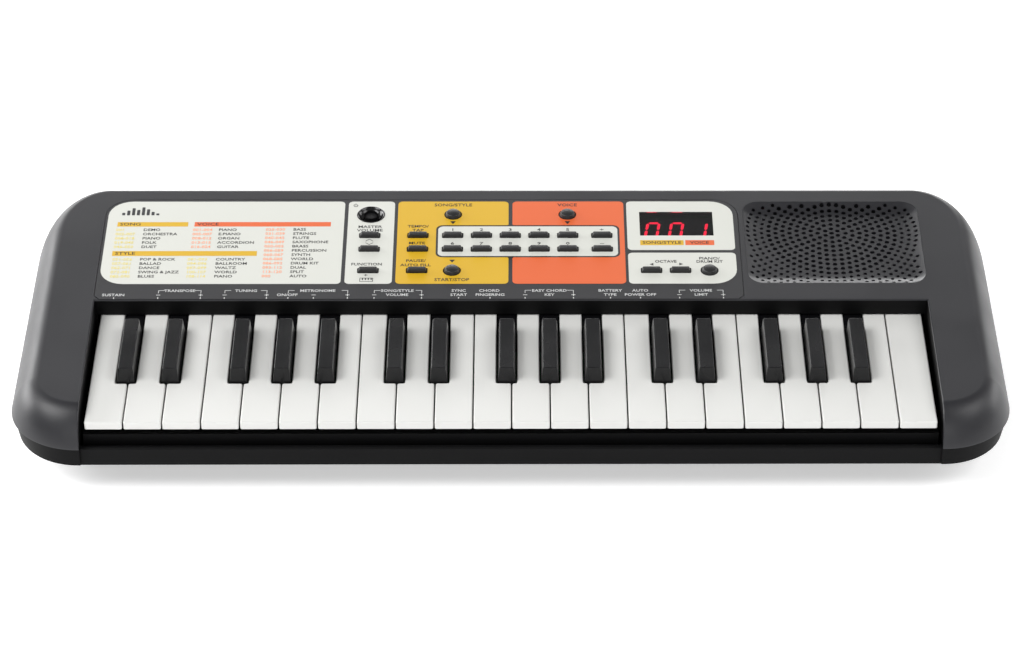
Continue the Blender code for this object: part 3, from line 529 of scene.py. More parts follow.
# %% [markdown]
# ## The shape of the case
# The upper case is a shallow dome with a flat, leaning top: wide soft shoulders at the ends, a
# tighter one at the back. A box with a bevel could not change its radius from end to back, so the
# shell is lofted. Each ring is the outline, drawn in along part of an ellipse, which starts
# with a lean at the sides and in front and upright at the back. Round each corner the two are
# mixed. The lower shell has only three rings: its rim, a crisp edge and the belly.

# %% Rings of the shells
WALL = 2.4
TOP_WALL = 2.6
CORNER_FRONT, CORNER_BACK = 36.0, 38.0
SEAM_LAND = 0.6  # straight band above the seam
EDGE_IN = (15.0, 16.0, 4.0)  # how far the upper edge rounds in: side, front, back
EDGE_LEAN = (30.0, 30.0, 0.0)  # how much it leans where it starts
EDGE_BACK_DOWN = 4.0
LOWER_RIM_IN, LOWER_EDGE_IN = (1.0, 1.0, 1.0), (3.0, 1.0, 2.0)
BELLY_IN = (25.0, 26.5, 11.0)
LOWER_EDGE_Z = 17.4
BELLY_Z = 3.0
GAP = 0.3
FAR = 60.0
FRONT_Y = CASE_LOW.y


def shell_ring(insets, height, steps):
    """One level of a shell: the outline moved in, with height from y and from how far back."""
    side, front, rear = insets
    ring = []
    corners = (
        (1, FRONT_Y, CORNER_FRONT, front, -90),
        (1, BACK_Y, CORNER_BACK, rear, 0),
        (-1, BACK_Y, CORNER_BACK, rear, 90),
        (-1, FRONT_Y, CORNER_FRONT, front, 180),
    )
    for sign_x, end_y, corner, end, start in corners:
        sign_y = 1 if end_y > 0 else -1
        centre = (sign_x * (HALF_WIDTH - corner), end_y - sign_y * corner)
        for step in range(steps + 1):
            angle = math.radians(start + 90 * step / steps)
            x = centre[0] + (corner - side) * math.cos(angle)
            y = centre[1] + (corner - end) * math.sin(angle)
            behind = math.sin(angle) ** 2 if end_y > 0 else 0
            ring.append((x, y, height(y, behind)))
    return ring


def rounding(part, lean):
    """How far in and still to go up a rounded edge is at a part of its turn, as shares of it."""
    first = math.radians(lean)
    turned_by = first + (math.pi / 2 - first) * part
    across = (math.cos(first) - math.cos(turned_by)) / math.cos(first)
    down = (1 - math.sin(turned_by)) / (1 - math.sin(first))
    return across, down


def panel_z(y):
    return PANEL_FRONT_Z + (y - SLOT_Y) * math.tan(PANEL_TILT)


def upper_shell(inset, base_z, corner_steps, edge_steps):
    under = inset / WALL * TOP_WALL
    rings = [shell_ring([inset] * 3, lambda y, behind: base_z, corner_steps)]
    for step in range(edge_steps + 1):
        bends = [rounding(step / edge_steps, lean) for lean in EDGE_LEAN]
        insets = [inset + size * across for size, (across, _) in zip(EDGE_IN, bends)]
        down, back_down = bends[0][1], bends[2][1] * EDGE_BACK_DOWN

        def height(y, behind):
            top = panel_z(y) - under
            return top - (1 - behind) * down * (top - SEAM_Z - SEAM_LAND) - behind * back_down

        rings.append(shell_ring(insets, height, corner_steps))
    return loft(rings)


def lower_shell(inset, rim_z, corner_steps):
    """Walls down from the seam to a crisp edge, then a slope in to the flat belly."""
    rings = []
    for level, insets in (
        (BELLY_Z + inset, BELLY_IN),
        (LOWER_EDGE_Z + inset, LOWER_EDGE_IN),
        (rim_z, LOWER_RIM_IN),
    ):
        drawn = [inset + value for value in insets]
        rings.append(shell_ring(drawn, lambda y, behind: level, corner_steps))
    return loft(rings)


print(f"front of the shell at y {FRONT_Y:.2f} mm, back at {BACK_Y:.2f} mm")


# %% [markdown]
# ## Holes in the panel
# The case, the film and the ink all open where a button comes through, so the holes are listed
# once. A bar button's hole is a box with slightly rounded corners; round buttons have round ones.

# %% List the buttons and their holes
BAR_SIZE = (10.0, 4.4)
CAP_SIZE = (10.4, 3.8)  # what shows of a bar cap, along and up the panel
BUTTON_ROOM = 0.45
BAR_NAMES = [
    "volume_up_button", "volume_down_button", "function_button", "tempo_button",
    "mute_button", "pause_button", "octave_down_button", "octave_up_button",
]  # fmt: skip
ROUND_NAMES = ["song_style_button", "start_stop_button", "voice_button", "piano_drum_button"]
BARS = {name: on_panel(name) for name in BAR_NAMES}
ROUNDS = {name: on_panel(name) for name in ROUND_NAMES}
ROUND_RADIUS = 4.3
POWER = on_panel("power_button")
DISH_RADIUS = 7.5
ROW_UPPER, ROW_LOWER = BARS["volume_up_button"][1], BARS["volume_down_button"][1]
keypad_high = low_high("number_keypad")[1]
KEYPAD_LIP = 1.35
first_digit = ROUNDS["song_style_button"][0]
fifth_digit = ROUNDS["voice_button"][0]
last_digit = keypad_high.x - KEYPAD_LIP - BAR_SIZE[0] / 2
DIGIT_X = [first_digit + (fifth_digit - first_digit) * step / 4 for step in range(5)] + [last_digit]
DIGITS = [(x, row) for row in (ROW_UPPER, ROW_LOWER) for x in DIGIT_X]
module_low, module_high = low_high("display_module")
WINDOW_HALF, module_middle = 10.8, on_panel("display_module")[1]
WINDOW = (
    module_low.x - 0.9, module_middle - WINDOW_HALF, module_high.x + 0.5, module_middle + WINDOW_HALF
)  # fmt: skip


def bar_hole(place, room=BUTTON_ROOM):
    half_x, half_y = CAP_SIZE[0] / 2 + room, CAP_SIZE[1] / 2 + room
    x, y = place
    return rounded_box(x - half_x, y - half_y, x + half_x, y + half_y, 0.7, 3)


def panel_holes(room=BUTTON_ROOM):
    holes = [(place, bar_hole(place, room)) for place in list(BARS.values()) + DIGITS]
    holes += [(place, circle(place, ROUND_RADIUS + room)) for place in ROUNDS.values()]
    holes.append((POWER, circle(POWER, DISH_RADIUS, 40)))
    middle = ((WINDOW[0] + WINDOW[2]) / 2, (WINDOW[1] + WINDOW[3]) / 2)
    holes.append((middle, rounded_box(*WINDOW, 0.4, 3)))
    return holes


print("holes:", len(panel_holes()), "power at", [round(value, 1) for value in POWER])


# %% [markdown]
# ## The upper case
# The shell is cut in the order a mould maker would think of it: the slot for the keys, with its
# top edges softened, then the hollow inside, the shallow bed for the film, the holes and the
# opening for the grille. The walls inside the slot get a darker, duller black than the case, as
# painted shade, so the keys stand out.

# %% Cut the upper case
top_case = piece(
    "upper_case", upper_shell(0, SEAM_Z, 24, 10), CASE_ABS, replaces=("top_case",)
)
slot_low = (-SLOT_HALF, FRONT_Y - FAR, -FAR)
boolean(top_case, box(slot_low, (SLOT_HALF, SLOT_Y, PANEL_FRONT_Z + FAR)))

bm = bmesh.new()
bm.from_mesh(top_case.data)
rim = []
for edge in bm.edges:
    points = [vert.co / MM for vert in edge.verts]
    in_slot = all(
        (abs(abs(p.x) - SLOT_HALF) < 0.01 and p.y < SLOT_Y + 0.01)
        or (abs(p.y - SLOT_Y) < 0.01 and abs(p.x) < SLOT_HALF + 0.01)
        for p in points
    )
    tilts = [abs(face.normal.z) for face in edge.link_faces]
    if in_slot and min(p.z for p in points) > SEAM_Z + 0.5 and max(tilts) > 0.1 > min(tilts):
        rim.append(edge)
bmesh.ops.bevel(
    bm, geom=rim, offset=0.7 * MM, offset_type="OFFSET", segments=3, profile=0.5,
    affect="EDGES", clamp_overlap=False,
)  # fmt: skip
bm.to_mesh(top_case.data)
bm.free()
print("softened", len(rim), "edges of the slot")

# %% Hollow the upper case and open it
GRILLE = (123.4, 14.6, SLOT_HALF + 1.2, 87.72)
GRILLE_CORNER = 9.0
SOCKETS = {"power_socket": 38.0, "headphone_socket": 58.0}
SOCKET_Z = 38.5

hollow = piece("hollow", upper_shell(WALL, SEAM_Z - 20, 8, 4), CASE_ABS)
wall_back = SLOT_Y + WALL
outer_half = SLOT_HALF + WALL
high = PANEL_FRONT_Z + FAR
for low_corner, high_corner in (
    ((-outer_half, FRONT_Y - FAR, KEY_TOP_Z + 0.5), (outer_half, wall_back, high)),
    ((-outer_half, FRONT_Y - FAR, -FAR), (1 - SLOT_HALF, wall_back, high - 1)),
    ((SLOT_HALF - 1, FRONT_Y - FAR, -FAR), (outer_half, wall_back, high - 1)),
):
    boolean(hollow, box(low_corner, high_corner))
rim_outline = rounded_box(
    GRILLE[0] - 1.5, GRILLE[1] - 1.5, GRILLE[2] + 1.5, GRILLE[3] + 1.5, GRILLE_CORNER + 1.5, 8
)
boolean(hollow, moved(plate([rim_outline], -3.8, FAR), PANEL))
boss = turned([(DISH_RADIUS + 2, -4.4), (DISH_RADIUS + 2, FAR)], POWER)
boolean(hollow, moved(boss, PANEL))
cut_away(top_case, hollow)


def sheet_outline(grow=0.0):
    left, side = SHEET_LOW.x - grow, SHEET_HIGH.x + grow
    low, high = SHEET_FRONT_MARGIN - grow, SHEET_BACK + grow
    corners = [
        (left + 3, low), (side - 3, low), (side, low + 3), (side, high), (left, high), (left, low + 3)
    ]  # fmt: skip
    return filleted(corners, [0, 0, 0, 14 + grow, 14 + grow, 0], 10)


SHEET_BACK = (PANEL.inverted() @ SHEET_HIGH).y
boolean(top_case, moved(plate([sheet_outline(GAP)], -SHEET_THICK - GAP, FAR), PANEL))
for place, outline in panel_holes():
    outline = circle(POWER, DISH_RADIUS + 0.05, 40) if place == POWER else outline
    boolean(top_case, moved(plate([outline], -12, 5), PANEL))
grille_hole = rounded_box(*GRILLE, GRILLE_CORNER, 10)
boolean(top_case, moved(plate([grille_hole], -12, FAR), PANEL))
for x in SOCKETS.values():
    bore = moved(turned([(4.3, -WALL * 3), (4.3, WALL)]), TURN_Y)
    boolean(top_case, moved(bore, Matrix.Translation((x, BACK_Y, SOCKET_Z))))
print("upper case:", len(top_case.data.polygons), "faces")

# %% Paint shade on the walls of the slot and smooth the shell
top_case.data.materials.append(SLOT_PAINTED_SHADE_ABS)
# Painted shade: the upright faces inside the slot take the darker black of the second material.
for face in top_case.data.polygons:
    middle = face.center / MM
    inside = abs(middle.x) < SLOT_HALF + 0.1 and middle.y < SLOT_Y + 0.1
    if inside and abs(face.normal.z) < 0.05 and middle.z < panel_z(middle.y) - 0.6:
        face.material_index = 1
shade(top_case, 32)
weigh_normals(top_case)


# %% [markdown]
# ## The loudspeaker grille
# The grille is a dished field of moulded holes in rings: one in the middle, then six more in each
# ring, larger over the cone and smaller outside it. Cutting four hundred holes with Booleans is
# slow and leaves long thin faces that shade badly. A constrained Delaunay triangulation takes the
# outline, the holes and a grid of loose points at once; the holes are then left out, the sheet is
# sunk along a smooth curve near its edge, and a Solidify modifier gives it its thickness.

# %% Lay out the holes
RING_PITCH = (3.74, 3.98)  # from ring to ring, along the panel and up it
RINGS, CONE_RINGS = 20, 10  # rings in all, and those over the cone
CONE_HOLE, OUTER_HOLE = 1.3, 1.05  # radii
HOLE_TO_EDGE = 1.55  # least distance from a hole's middle to the grille's edge
grille_middle = (on_panel("speaker")[0], 62.27)


def inside_grille(x, y):
    """Distance from a panel place to the grille's edge, positive inside."""
    half_x, half_y = (GRILLE[2] - GRILLE[0]) / 2, (GRILLE[3] - GRILLE[1]) / 2
    over_x = abs(x - (GRILLE[0] + GRILLE[2]) / 2) - half_x + GRILLE_CORNER
    over_y = abs(y - (GRILLE[1] + GRILLE[3]) / 2) - half_y + GRILLE_CORNER
    outside = math.hypot(max(over_x, 0), max(over_y, 0)) + min(max(over_x, over_y), 0)
    return GRILLE_CORNER - outside


sound_holes = []
for ring in range(RINGS):
    count = max(1, 6 * ring)
    for index in range(count):
        angle = math.radians(90 + 360 * index / count)
        x = grille_middle[0] + ring * RING_PITCH[0] * math.cos(angle)
        y = grille_middle[1] + ring * RING_PITCH[1] * math.sin(angle)
        radius = CONE_HOLE if ring < CONE_RINGS else OUTER_HOLE
        if inside_grille(x, y) > HOLE_TO_EDGE:
            sound_holes.append((x, y, radius))
print("sound holes:", len(sound_holes))

# %% Triangulate, sink and thicken the grille
GRILLE_SINK, COVE = 2.5, 9.0  # how deep the dish is, and how far in from its edge it levels out
GRILLE_THICK = 1.2
points, edges = [], []


def add_loop(outline):
    start = len(points)
    points.extend(Vector(point) for point in outline)
    edges.extend((start + i, start + (i + 1) % len(outline)) for i in range(len(outline)))


edge_inset = 0.12
add_loop(
    rounded_box(
        GRILLE[0] + edge_inset, GRILLE[1] + edge_inset, GRILLE[2] - edge_inset,
        GRILLE[3] - edge_inset, GRILLE_CORNER - edge_inset, 12,
    )
)  # fmt: skip
for x, y, radius in sound_holes:
    add_loop(circle((x, y), radius, 12))
hole_array = np.array(sound_holes)
GRID_STEP = 1.25  # between the loose points
for column in range(int((GRILLE[2] - GRILLE[0]) / GRID_STEP) + 1):
    for row in range(int((GRILLE[3] - GRILLE[1]) / GRID_STEP) + 1):
        x, y = GRILLE[0] + column * GRID_STEP, GRILLE[1] + row * GRID_STEP
        clear = np.hypot(hole_array[:, 0] - x, hole_array[:, 1] - y) - hole_array[:, 2]
        if inside_grille(x, y) > 0.6 and clear.min() > 0.3:
            points.append(Vector((x, y)))
flat, _, triangles, *_ = geometry.delaunay_2d_cdt(points, edges, [], 0, 1e-5)
bm = bmesh.new()
verts = []
for point in flat:
    depth = min(1, max(0, inside_grille(*point) / COVE))
    sink = GRILLE_SINK * math.sin(depth * math.pi / 2) ** 0.9
    verts.append(bm.verts.new(Vector((point.x, point.y, -sink)) * MM))
for triangle in triangles:
    middle = sum((flat[index] for index in triangle), Vector((0, 0))) / 3
    clear = np.hypot(hole_array[:, 0] - middle.x, hole_array[:, 1] - middle.y) - hole_array[:, 2]
    if clear.min() > -0.02 and inside_grille(*middle) > 0.05:
        bm.faces.new([verts[index] for index in triangle])
loose = [vert for vert in bm.verts if not vert.link_faces]
bmesh.ops.delete(bm, geom=loose, context="VERTS")
bmesh.ops.recalc_face_normals(bm, faces=bm.faces)
if sum(face.normal.z for face in bm.faces) < 0:
    bmesh.ops.reverse_faces(bm, faces=bm.faces)
grille = piece("speaker_grille", moved(bm, PANEL), CASE_ABS)
thick = grille.modifiers.new("thickness", "SOLIDIFY")
thick.thickness, thick.offset = GRILLE_THICK * MM, -1
settle(grille)
shade(grille, 50)
print("grille:", len(grille.data.polygons), "faces")


# %% [markdown]
# ## The printed film and its fields of colour
# The film lies flush in its bed. Its fields could be painted with a texture, but a texture blurs
# close up and its edges can't be felt. Here each field of ink is a real sheet a few hundredths of
# a millimetre thick, with the button holes left open, as the printer's screen leaves them.

# %% The film
holes = panel_holes()
film = plate([sheet_outline()] + [outline for _, outline in holes], -SHEET_THICK, 0)
piece(
    "panel_film", moved(film, PANEL), GROUND_INK, replaces=("panel_sheet",)
)


# %% Fields of ink
INK_FIELD, INK_OVER, INK_LETTER = 0.04, 0.07, 0.1
FIELD_FRONT, FIELD_BACK = 14.0, 87.9


def field(name, outline, material, base=0.0, top=INK_FIELD):
    """One sheet of ink, with the holes that fall inside it."""
    xs, ys = [p[0] for p in outline], [p[1] for p in outline]
    cuts = [
        hole
        for (x, y), hole in holes
        if min(xs) < x < max(xs) and min(ys) < y < max(ys) and covers(outline, x, y)
    ]
    return piece(name, moved(plate([outline] + cuts, base, top), PANEL), material)


def covers(outline, x, y):
    """Whether a place lies inside an outline, by counting crossings."""
    inside = False
    for (x1, y1), (x2, y2) in zip(outline, outline[1:] + outline[:1]):
        if (y1 > y) != (y2 > y) and x < x1 + (y - y1) / (y2 - y1) * (x2 - x1):
            inside = not inside
    return inside


def panel_rectangle(left, low, side, high, radii):
    return filleted([(left, low), (side, low), (side, high), (left, high)], radii, 7)


INSET = (-39.1, 38.4, 56.0, 65.1)
RIM = 1.1
notch = (INSET[0] - RIM, INSET[1] - RIM, INSET[2] + RIM, INSET[3] + RIM)
field(
    "field_list",
    panel_rectangle(-215.0, FIELD_FRONT, -89.3, FIELD_BACK, (12.5, 2.5, 2.5, 12.5)),
    WHITE_INK,
)
field("field_power", panel_rectangle(-87.3, FIELD_FRONT, -62.6, FIELD_BACK, 2.5), WHITE_INK)
SONG_LEFT, SONG_RIGHT, VOICE_LEFT, VOICE_RIGHT = -60.8, -1.8, 0.3, 59.7
yellow_corners = [
    (SONG_LEFT, FIELD_FRONT), (SONG_RIGHT, FIELD_FRONT), (SONG_RIGHT, notch[1]), notch[:2],
    (notch[0], notch[3]), (SONG_RIGHT, notch[3]), (SONG_RIGHT, FIELD_BACK), (SONG_LEFT, FIELD_BACK),
]  # fmt: skip
field("field_song", filleted(yellow_corners, (2.5, 2.5, 1, 3.6, 3.6, 1, 2.5, 2.5), 6), YELLOW_INK)
orange_corners = [
    (VOICE_LEFT, FIELD_FRONT), (VOICE_RIGHT, FIELD_FRONT), (VOICE_RIGHT, FIELD_BACK),
    (VOICE_LEFT, FIELD_BACK), (VOICE_LEFT, notch[3]), notch[2:], (notch[2], notch[1]),
    (VOICE_LEFT, notch[1]),
]  # fmt: skip
field("field_voice", filleted(orange_corners, (2.5, 2.5, 2.5, 2.5, 1, 3.6, 3.6, 1), 6), ORANGE_INK)
field("field_numbers", panel_rectangle(*INSET, 3), WHITE_INK)
field("field_display", panel_rectangle(61.2, 43.7, 118.0, FIELD_BACK, (2.5, 2.5, 12.5, 2.5)), WHITE_INK)
field("field_octave", panel_rectangle(61.2, FIELD_FRONT, 118.0, 41.3, (2.5, 12.5, 2.5, 2.5)), WHITE_INK)
print("fields:", [name for name in PIECES if name.startswith("field")])

# %% Heading bars of the lists
HEADING_BARS = {
    "bar_song": (-209.6, 65.1, -172.1, 69.1, YELLOW_INK),
    "bar_voice": (-168.7, 65.1, -96.3, 69.1, ORANGE_INK),
    "bar_style": (-210.2, 38.7, -134.2, 43.0, YELLOW_INK),
    "bar_song_style_lamp": (67.9, 48.1, 90.9, 52.5, YELLOW_INK),
    "bar_voice_lamp": (91.8, 48.1, 107.1, 52.5, ORANGE_INK),
}
for name, (left, low, side, high, material) in HEADING_BARS.items():
    field(name, rounded_box(left, low, side, high, 0.15, 1), material, INK_FIELD - 0.01, INK_OVER)


# %% [markdown]
# ## Lettering and marks
# The legends are plain words and numbers set in small capitals. A text object gives clean
# outlines at any size. Each is turned into a mesh, laid on the panel and gathered by ink, so a
# whole colour of lettering is one piece, as it is one pass of the printer's screen.

# %% Set the type
CAPITAL_SHARE = 0.72  # height of a capital in the built-in face, as a share of the type size


def set_type(entries, base=INK_FIELD - 0.01, top=INK_LETTER):
    """Meshes for (text, x, y, capital height, align, wide) entries, in panel places."""
    parts = []
    for text, x, y, capital, align, wide in entries:
        curve = bpy.data.curves.new("type", "FONT")
        curve.body = text
        curve.size = capital / CAPITAL_SHARE * MM
        curve.align_x, curve.align_y = align, "CENTER"
        curve.resolution_u = 2
        curve.extrude = (top - base) / 2 * MM
        curve.offset = 0.03 * MM
        guide = bpy.data.objects.new("type", curve)
        mesh = bpy.data.meshes.new_from_object(guide)
        part = bmesh.new()
        part.from_mesh(mesh)
        bmesh.ops.remove_doubles(part, verts=part.verts, dist=1e-7)
        place = Matrix.Translation((x, y, (base + top) / 2)) @ Matrix.Diagonal((wide, 1, 1, 1))
        parts.append(moved(part, place))
        bpy.data.meshes.remove(mesh)
        bpy.data.objects.remove(guide)
        bpy.data.curves.remove(curve)
    return parts


def marks(outlines, base=INK_FIELD - 0.01, top=INK_LETTER):
    return [plate([outline], base, top) for outline in outlines]


def printed(name, parts, material):
    return piece(name, moved(gathered(parts), PANEL), material)


LIST_CAPITAL = 2.25
LIST_TOP, LIST_PITCH = 62.04, 3.83
STYLE_TOP, STYLE_PITCH = 35.56, 3.75
LISTS = (
    (-210, -195.5, LIST_TOP, LIST_PITCH, "yellow",
     ("001", "002-007", "008-018", "019-045", "046-050"),
     ("DEMO", "ORCHESTRA", "PIANO", "FOLK", "DUET")),
    (-169.3, -155.6, LIST_TOP, LIST_PITCH, "orange",
     ("001-004", "005-007", "008-012", "013-015", "016-024"),
     ("PIANO", "E.PIANO", "ORGAN", "ACCORDION", "GUITAR")),
    (-130.7, -116.1, 62.3, 3.78, "orange",
     ("025-030", "031-039", "040-045", "046-049", "050-055", "056-059", "060-067", "068-085",
      "086-092", "093-112", "113-120", "000"),
     ("BASS", "STRINGS", "FLUTE", "SAXOPHONE", "BRASS", "PERCUSSION", "SYNTH", "WORLD",
      "DRUM KIT", "DUAL", "SPLIT", "AUTO")),
    (-209.7, -195.3, STYLE_TOP, STYLE_PITCH, "yellow",
     ("051-056", "057-061", "062-071", "072-081", "082-090"),
     ("POP & ROCK", "BALLAD", "DANCE", "SWING & JAZZ", "BLUES")),
    (-170.3, -155.5, STYLE_TOP, STYLE_PITCH, "yellow",
     ("091-093", "094-096", "097-099", "100-107", "108-114"),
     ("COUNTRY", "BALLROOM", "WALTZ", "WORLD", "PIANO")),
)  # fmt: skip
columns = {"yellow": [], "orange": [], "black": []}
for number_x, word_x, top_y, pitch, colour, numbers, words in LISTS:
    for row, (number, word) in enumerate(zip(numbers, words)):
        y = top_y - pitch * row
        columns[colour].append((number, number_x, y, LIST_CAPITAL, "LEFT", 1.0))
        columns["black"].append((word, word_x, y, LIST_CAPITAL, "LEFT", 1.02))
printed("print_list_words", set_type(columns["black"]), BLACK_INK)
printed("print_list_numbers_yellow", set_type(columns["yellow"]), FAINT_YELLOW_INK)
printed("print_list_numbers_orange", set_type(columns["orange"]), FAINT_ORANGE_INK)
print("list rows:", len(columns["black"]))

# %% Words beside the buttons
LABEL_CAPITAL = 2.3
labels = [
    ("SONG", -208.3, 67.1, 2.5, "LEFT", 1.15),
    ("VOICE", -167.3, 67.1, 2.5, "LEFT", 1.15),
    ("STYLE", -208.7, 40.85, 2.5, "LEFT", 1.15),
    ("MASTER", -75.4, 64.7, LABEL_CAPITAL, "CENTER", 1.1),
    ("VOLUME", -75.4, 61.5, LABEL_CAPITAL, "CENTER", 1.1),
    ("FUNCTION", -76.2, 31.1, LABEL_CAPITAL, "CENTER", 1.0),
    ("TEMPO/", -49.9, 65.1, LABEL_CAPITAL, "CENTER", 1.0),
    ("TAP", -49.9, 61.6, LABEL_CAPITAL, "CENTER", 1.05),
    ("MUTE", -50.2, 49.9, LABEL_CAPITAL, "CENTER", 1.05),
    ("PAUSE/", -50.5, 34.2, LABEL_CAPITAL, "CENTER", 1.05),
    ("AUTO FILL", -50.5, 30.4, LABEL_CAPITAL, "CENTER", 1.05),
    ("SONG/STYLE", first_digit, 84.6, 2.6, "CENTER", 0.98),
    ("VOICE", fifth_digit, 84.6, 2.6, "CENTER", 1.0),
    ("START/STOP", first_digit, 17.45, 2.6, "CENTER", 0.9),
    ("OCTAVE", 80.9, 33.4, LABEL_CAPITAL, "CENTER", 0.92),
    ("PIANO/", 103.9, 36.1, LABEL_CAPITAL, "CENTER", 1.04),
    ("DRUM KIT", 103.9, 33.3, LABEL_CAPITAL, "CENTER", 0.95),
    ("SONG/STYLE", 79.4, 50.3, 2.5, "CENTER", 1.03),
    ("VOICE", 99.3, 50.3, 2.5, "CENTER", 1.0),
    ("+", -76.3, 21.4, 2.6, "CENTER", 1.0),
]
DIGIT_LABELS = {ROW_UPPER: 62.0, ROW_LOWER: 49.6}
for text, (x, y) in zip("12345+67890–", DIGITS):
    labels.append((text, x, DIGIT_LABELS[y], 2.3, "CENTER", 1.25))


def triangle(x, y, size, pointing):
    """A small solid arrow head, as a panel outline."""
    turns_by = {"up": 90, "down": -90, "left": 180, "right": 0}[pointing]
    return arc((x, y), size, turns_by, turns_by + 240, 2)


def stroke(points, width):
    """A thin bar along each part of a line."""
    outlines = []
    for start, end in zip(points, points[1:]):
        a, b = Vector(start), Vector(end)
        side = (b - a).normalized().orthogonal() * width / 2
        reach = (b - a).normalized() * width / 2
        corners = (a - reach + side, b + reach + side, b + reach - side, a - reach - side)
        outlines.append([tuple(corner) for corner in corners])
    return outlines


arrows = [
    triangle(first_digit, 68.9, 1.7, "down"),
    triangle(fifth_digit, 68.9, 1.7, "down"),
    triangle(first_digit, 34.3, 1.7, "down"),
    triangle(73.65, 31.0, 1.3, "left"),
    triangle(88.6, 31.2, 1.3, "right"),
]
thin = 0.3
power_mark = stroke(arc((-83.6, 84.2), 1.05, 125, 415, 12), thin)
power_mark += stroke([(-83.6, 84.4), (-83.6, 85.9)], thin)
volume_mark = stroke([(-77.3, 51.8), (-75.4, 53.6), (-73.5, 51.8)], thin)
volume_mark += stroke([(-77.3, 50.3), (-75.4, 48.7), (-73.5, 50.3)], thin)
key_mark = stroke([(-79.3, 19), (-79.3, 16), (-72.6, 16), (-72.6, 19), (-79.3, 19)], thin)
key_mark += [rounded_box(-78.2 + 1.5 * n, 17.4, -77.6 + 1.5 * n, 18.9, 0.1, 1) for n in range(4)]
meter = [
    rounded_box(-207.9 + 2.6 * n, 75.4, -206.3 + 2.6 * n, 75.4 + height, 0.3, 2)
    for n, height in enumerate((2.2, 4.2, 6.4, 4.8, 7.2, 5.4, 3.0, 1.6))
]
parts = set_type(labels) + marks(arrows + power_mark + volume_mark + key_mark + meter)
printed("print_labels", parts, BLACK_INK)
print("labels:", len(labels))

# %% Legends on the dark strip in front of the keys
STRIP_CAPITAL = 2.15
LINE_HIGH, LINE_LOW, TICKS = 8.0, 4.4, 1.8
strip = [
    ("SUSTAIN", -206.5, LINE_LOW), ("TRANSPOSE", -172.4, LINE_HIGH), ("TUNING", -137.9, LINE_HIGH),
    ("ON/OFF", -116.5, LINE_LOW), ("METRONOME", -100.8, LINE_HIGH), ("SONG/STYLE", -59.5, LINE_HIGH),
    ("VOLUME", -59.5, LINE_LOW), ("SYNC", -27.6, LINE_HIGH), ("START", -27.6, LINE_LOW),
    ("CHORD", -11.7, LINE_HIGH), ("FINGERING", -11.3, LINE_LOW), ("EASY CHORD", 19.5, LINE_HIGH),
    ("KEY", 19.5, LINE_LOW), ("BATTERY", 51.1, LINE_HIGH), ("TYPE", 51.1, LINE_LOW),
    ("AUTO", 66.8, LINE_HIGH), ("POWER OFF", 66.8, LINE_LOW), ("VOLUME", 98.4, LINE_HIGH),
    ("LIMIT", 98.4, LINE_LOW),
]  # fmt: skip
legends = [(text, x, y, STRIP_CAPITAL, "CENTER", 1.0) for text, x, y in strip]
tick_x = (
    -206.1, -183.3, -161.3, -148.9, -127.1, -116, -102.8, -85.2, -71.4, -46.8,
    -27.6, -11.3, 6.9, 32, 51.2, 66.8, 87.1, 109.9,
)  # fmt: skip
lines = [rounded_box(x - 0.25, TICKS - 0.6, x + 0.25, TICKS + 0.6, 0.05, 1) for x in tick_x]
brackets = (
    (-183.3, -161.3), (-148.9, -127.1), (-116, -85.2), (-71.4, -46.8), (6.9, 32), (87.1, 109.9),
)  # fmt: skip
HOOK = 3.0
HOOK_TOP, HOOK_FOOT, SIGN_HALF = LINE_HIGH + 0.3, LINE_HIGH - 1.8, 0.9
METRONOME_MINUS = -102.8  # this bracket's own minus key lies inside it
for left, side in brackets:
    for end, reach in ((left, HOOK), (side, -HOOK)):
        lines += stroke([(end, HOOK_FOOT), (end, HOOK_TOP), (end + reach, HOOK_TOP)], 0.32)
    minus_x = METRONOME_MINUS if left == brackets[2][0] else left
    for sign_x in (minus_x, side):
        lines += stroke([(sign_x - SIGN_HALF, LINE_LOW), (sign_x + SIGN_HALF, LINE_LOW)], 0.4)
    lines += stroke([(side, LINE_LOW - SIGN_HALF), (side, LINE_LOW + SIGN_HALF)], 0.4)
parts = set_type(legends, 0, INK_FIELD) + marks(lines, 0, INK_FIELD)
printed("print_strip_legends", parts, PALE_INK)
print("strip legends:", len(legends), "ticks:", len(tick_x))


# %% [markdown]
# ## The display
# Three red digits sit about 4 mm below the film behind a smoked window, so from in front their
# feet hide behind the window's edge. Each lit segment is a slim bar with pointed ends, moulded in
# clear epoxy, which glows evenly; the body round it is dark epoxy.

# %% Finishes of the display
LED_GLOW, led_tree, led_shader = surface(
    "led_segment_red_epoxy", Base_Color=linear("#c01020"), Roughness=0.4, IOR=1.55,
    Emission_Strength=4.2,
)  # fmt: skip
blend(
    led_tree, clouds(led_tree, 3, 1.0), linear("#f0143c"), linear("#ff2a44"),
    led_shader.inputs["Emission Color"],
)  # fmt: skip
LED_BODY = moulded("led_body_dark_epoxy", "#4a4a4d", 0.5, pebble=0.5, depth=0.004)
SMOKED, smoked_tree, smoked_shader = surface(
    "window_smoked_acrylic", Base_Color=linear("#7d7d80"), Roughness=0.06, IOR=1.49,
    Transmission_Weight=1.0,
)  # fmt: skip
blend(
    smoked_tree, clouds(smoked_tree, 4), linear("#8e8e91"), linear("#979799"),
    smoked_shader.inputs["Base Color"],
)  # fmt: skip

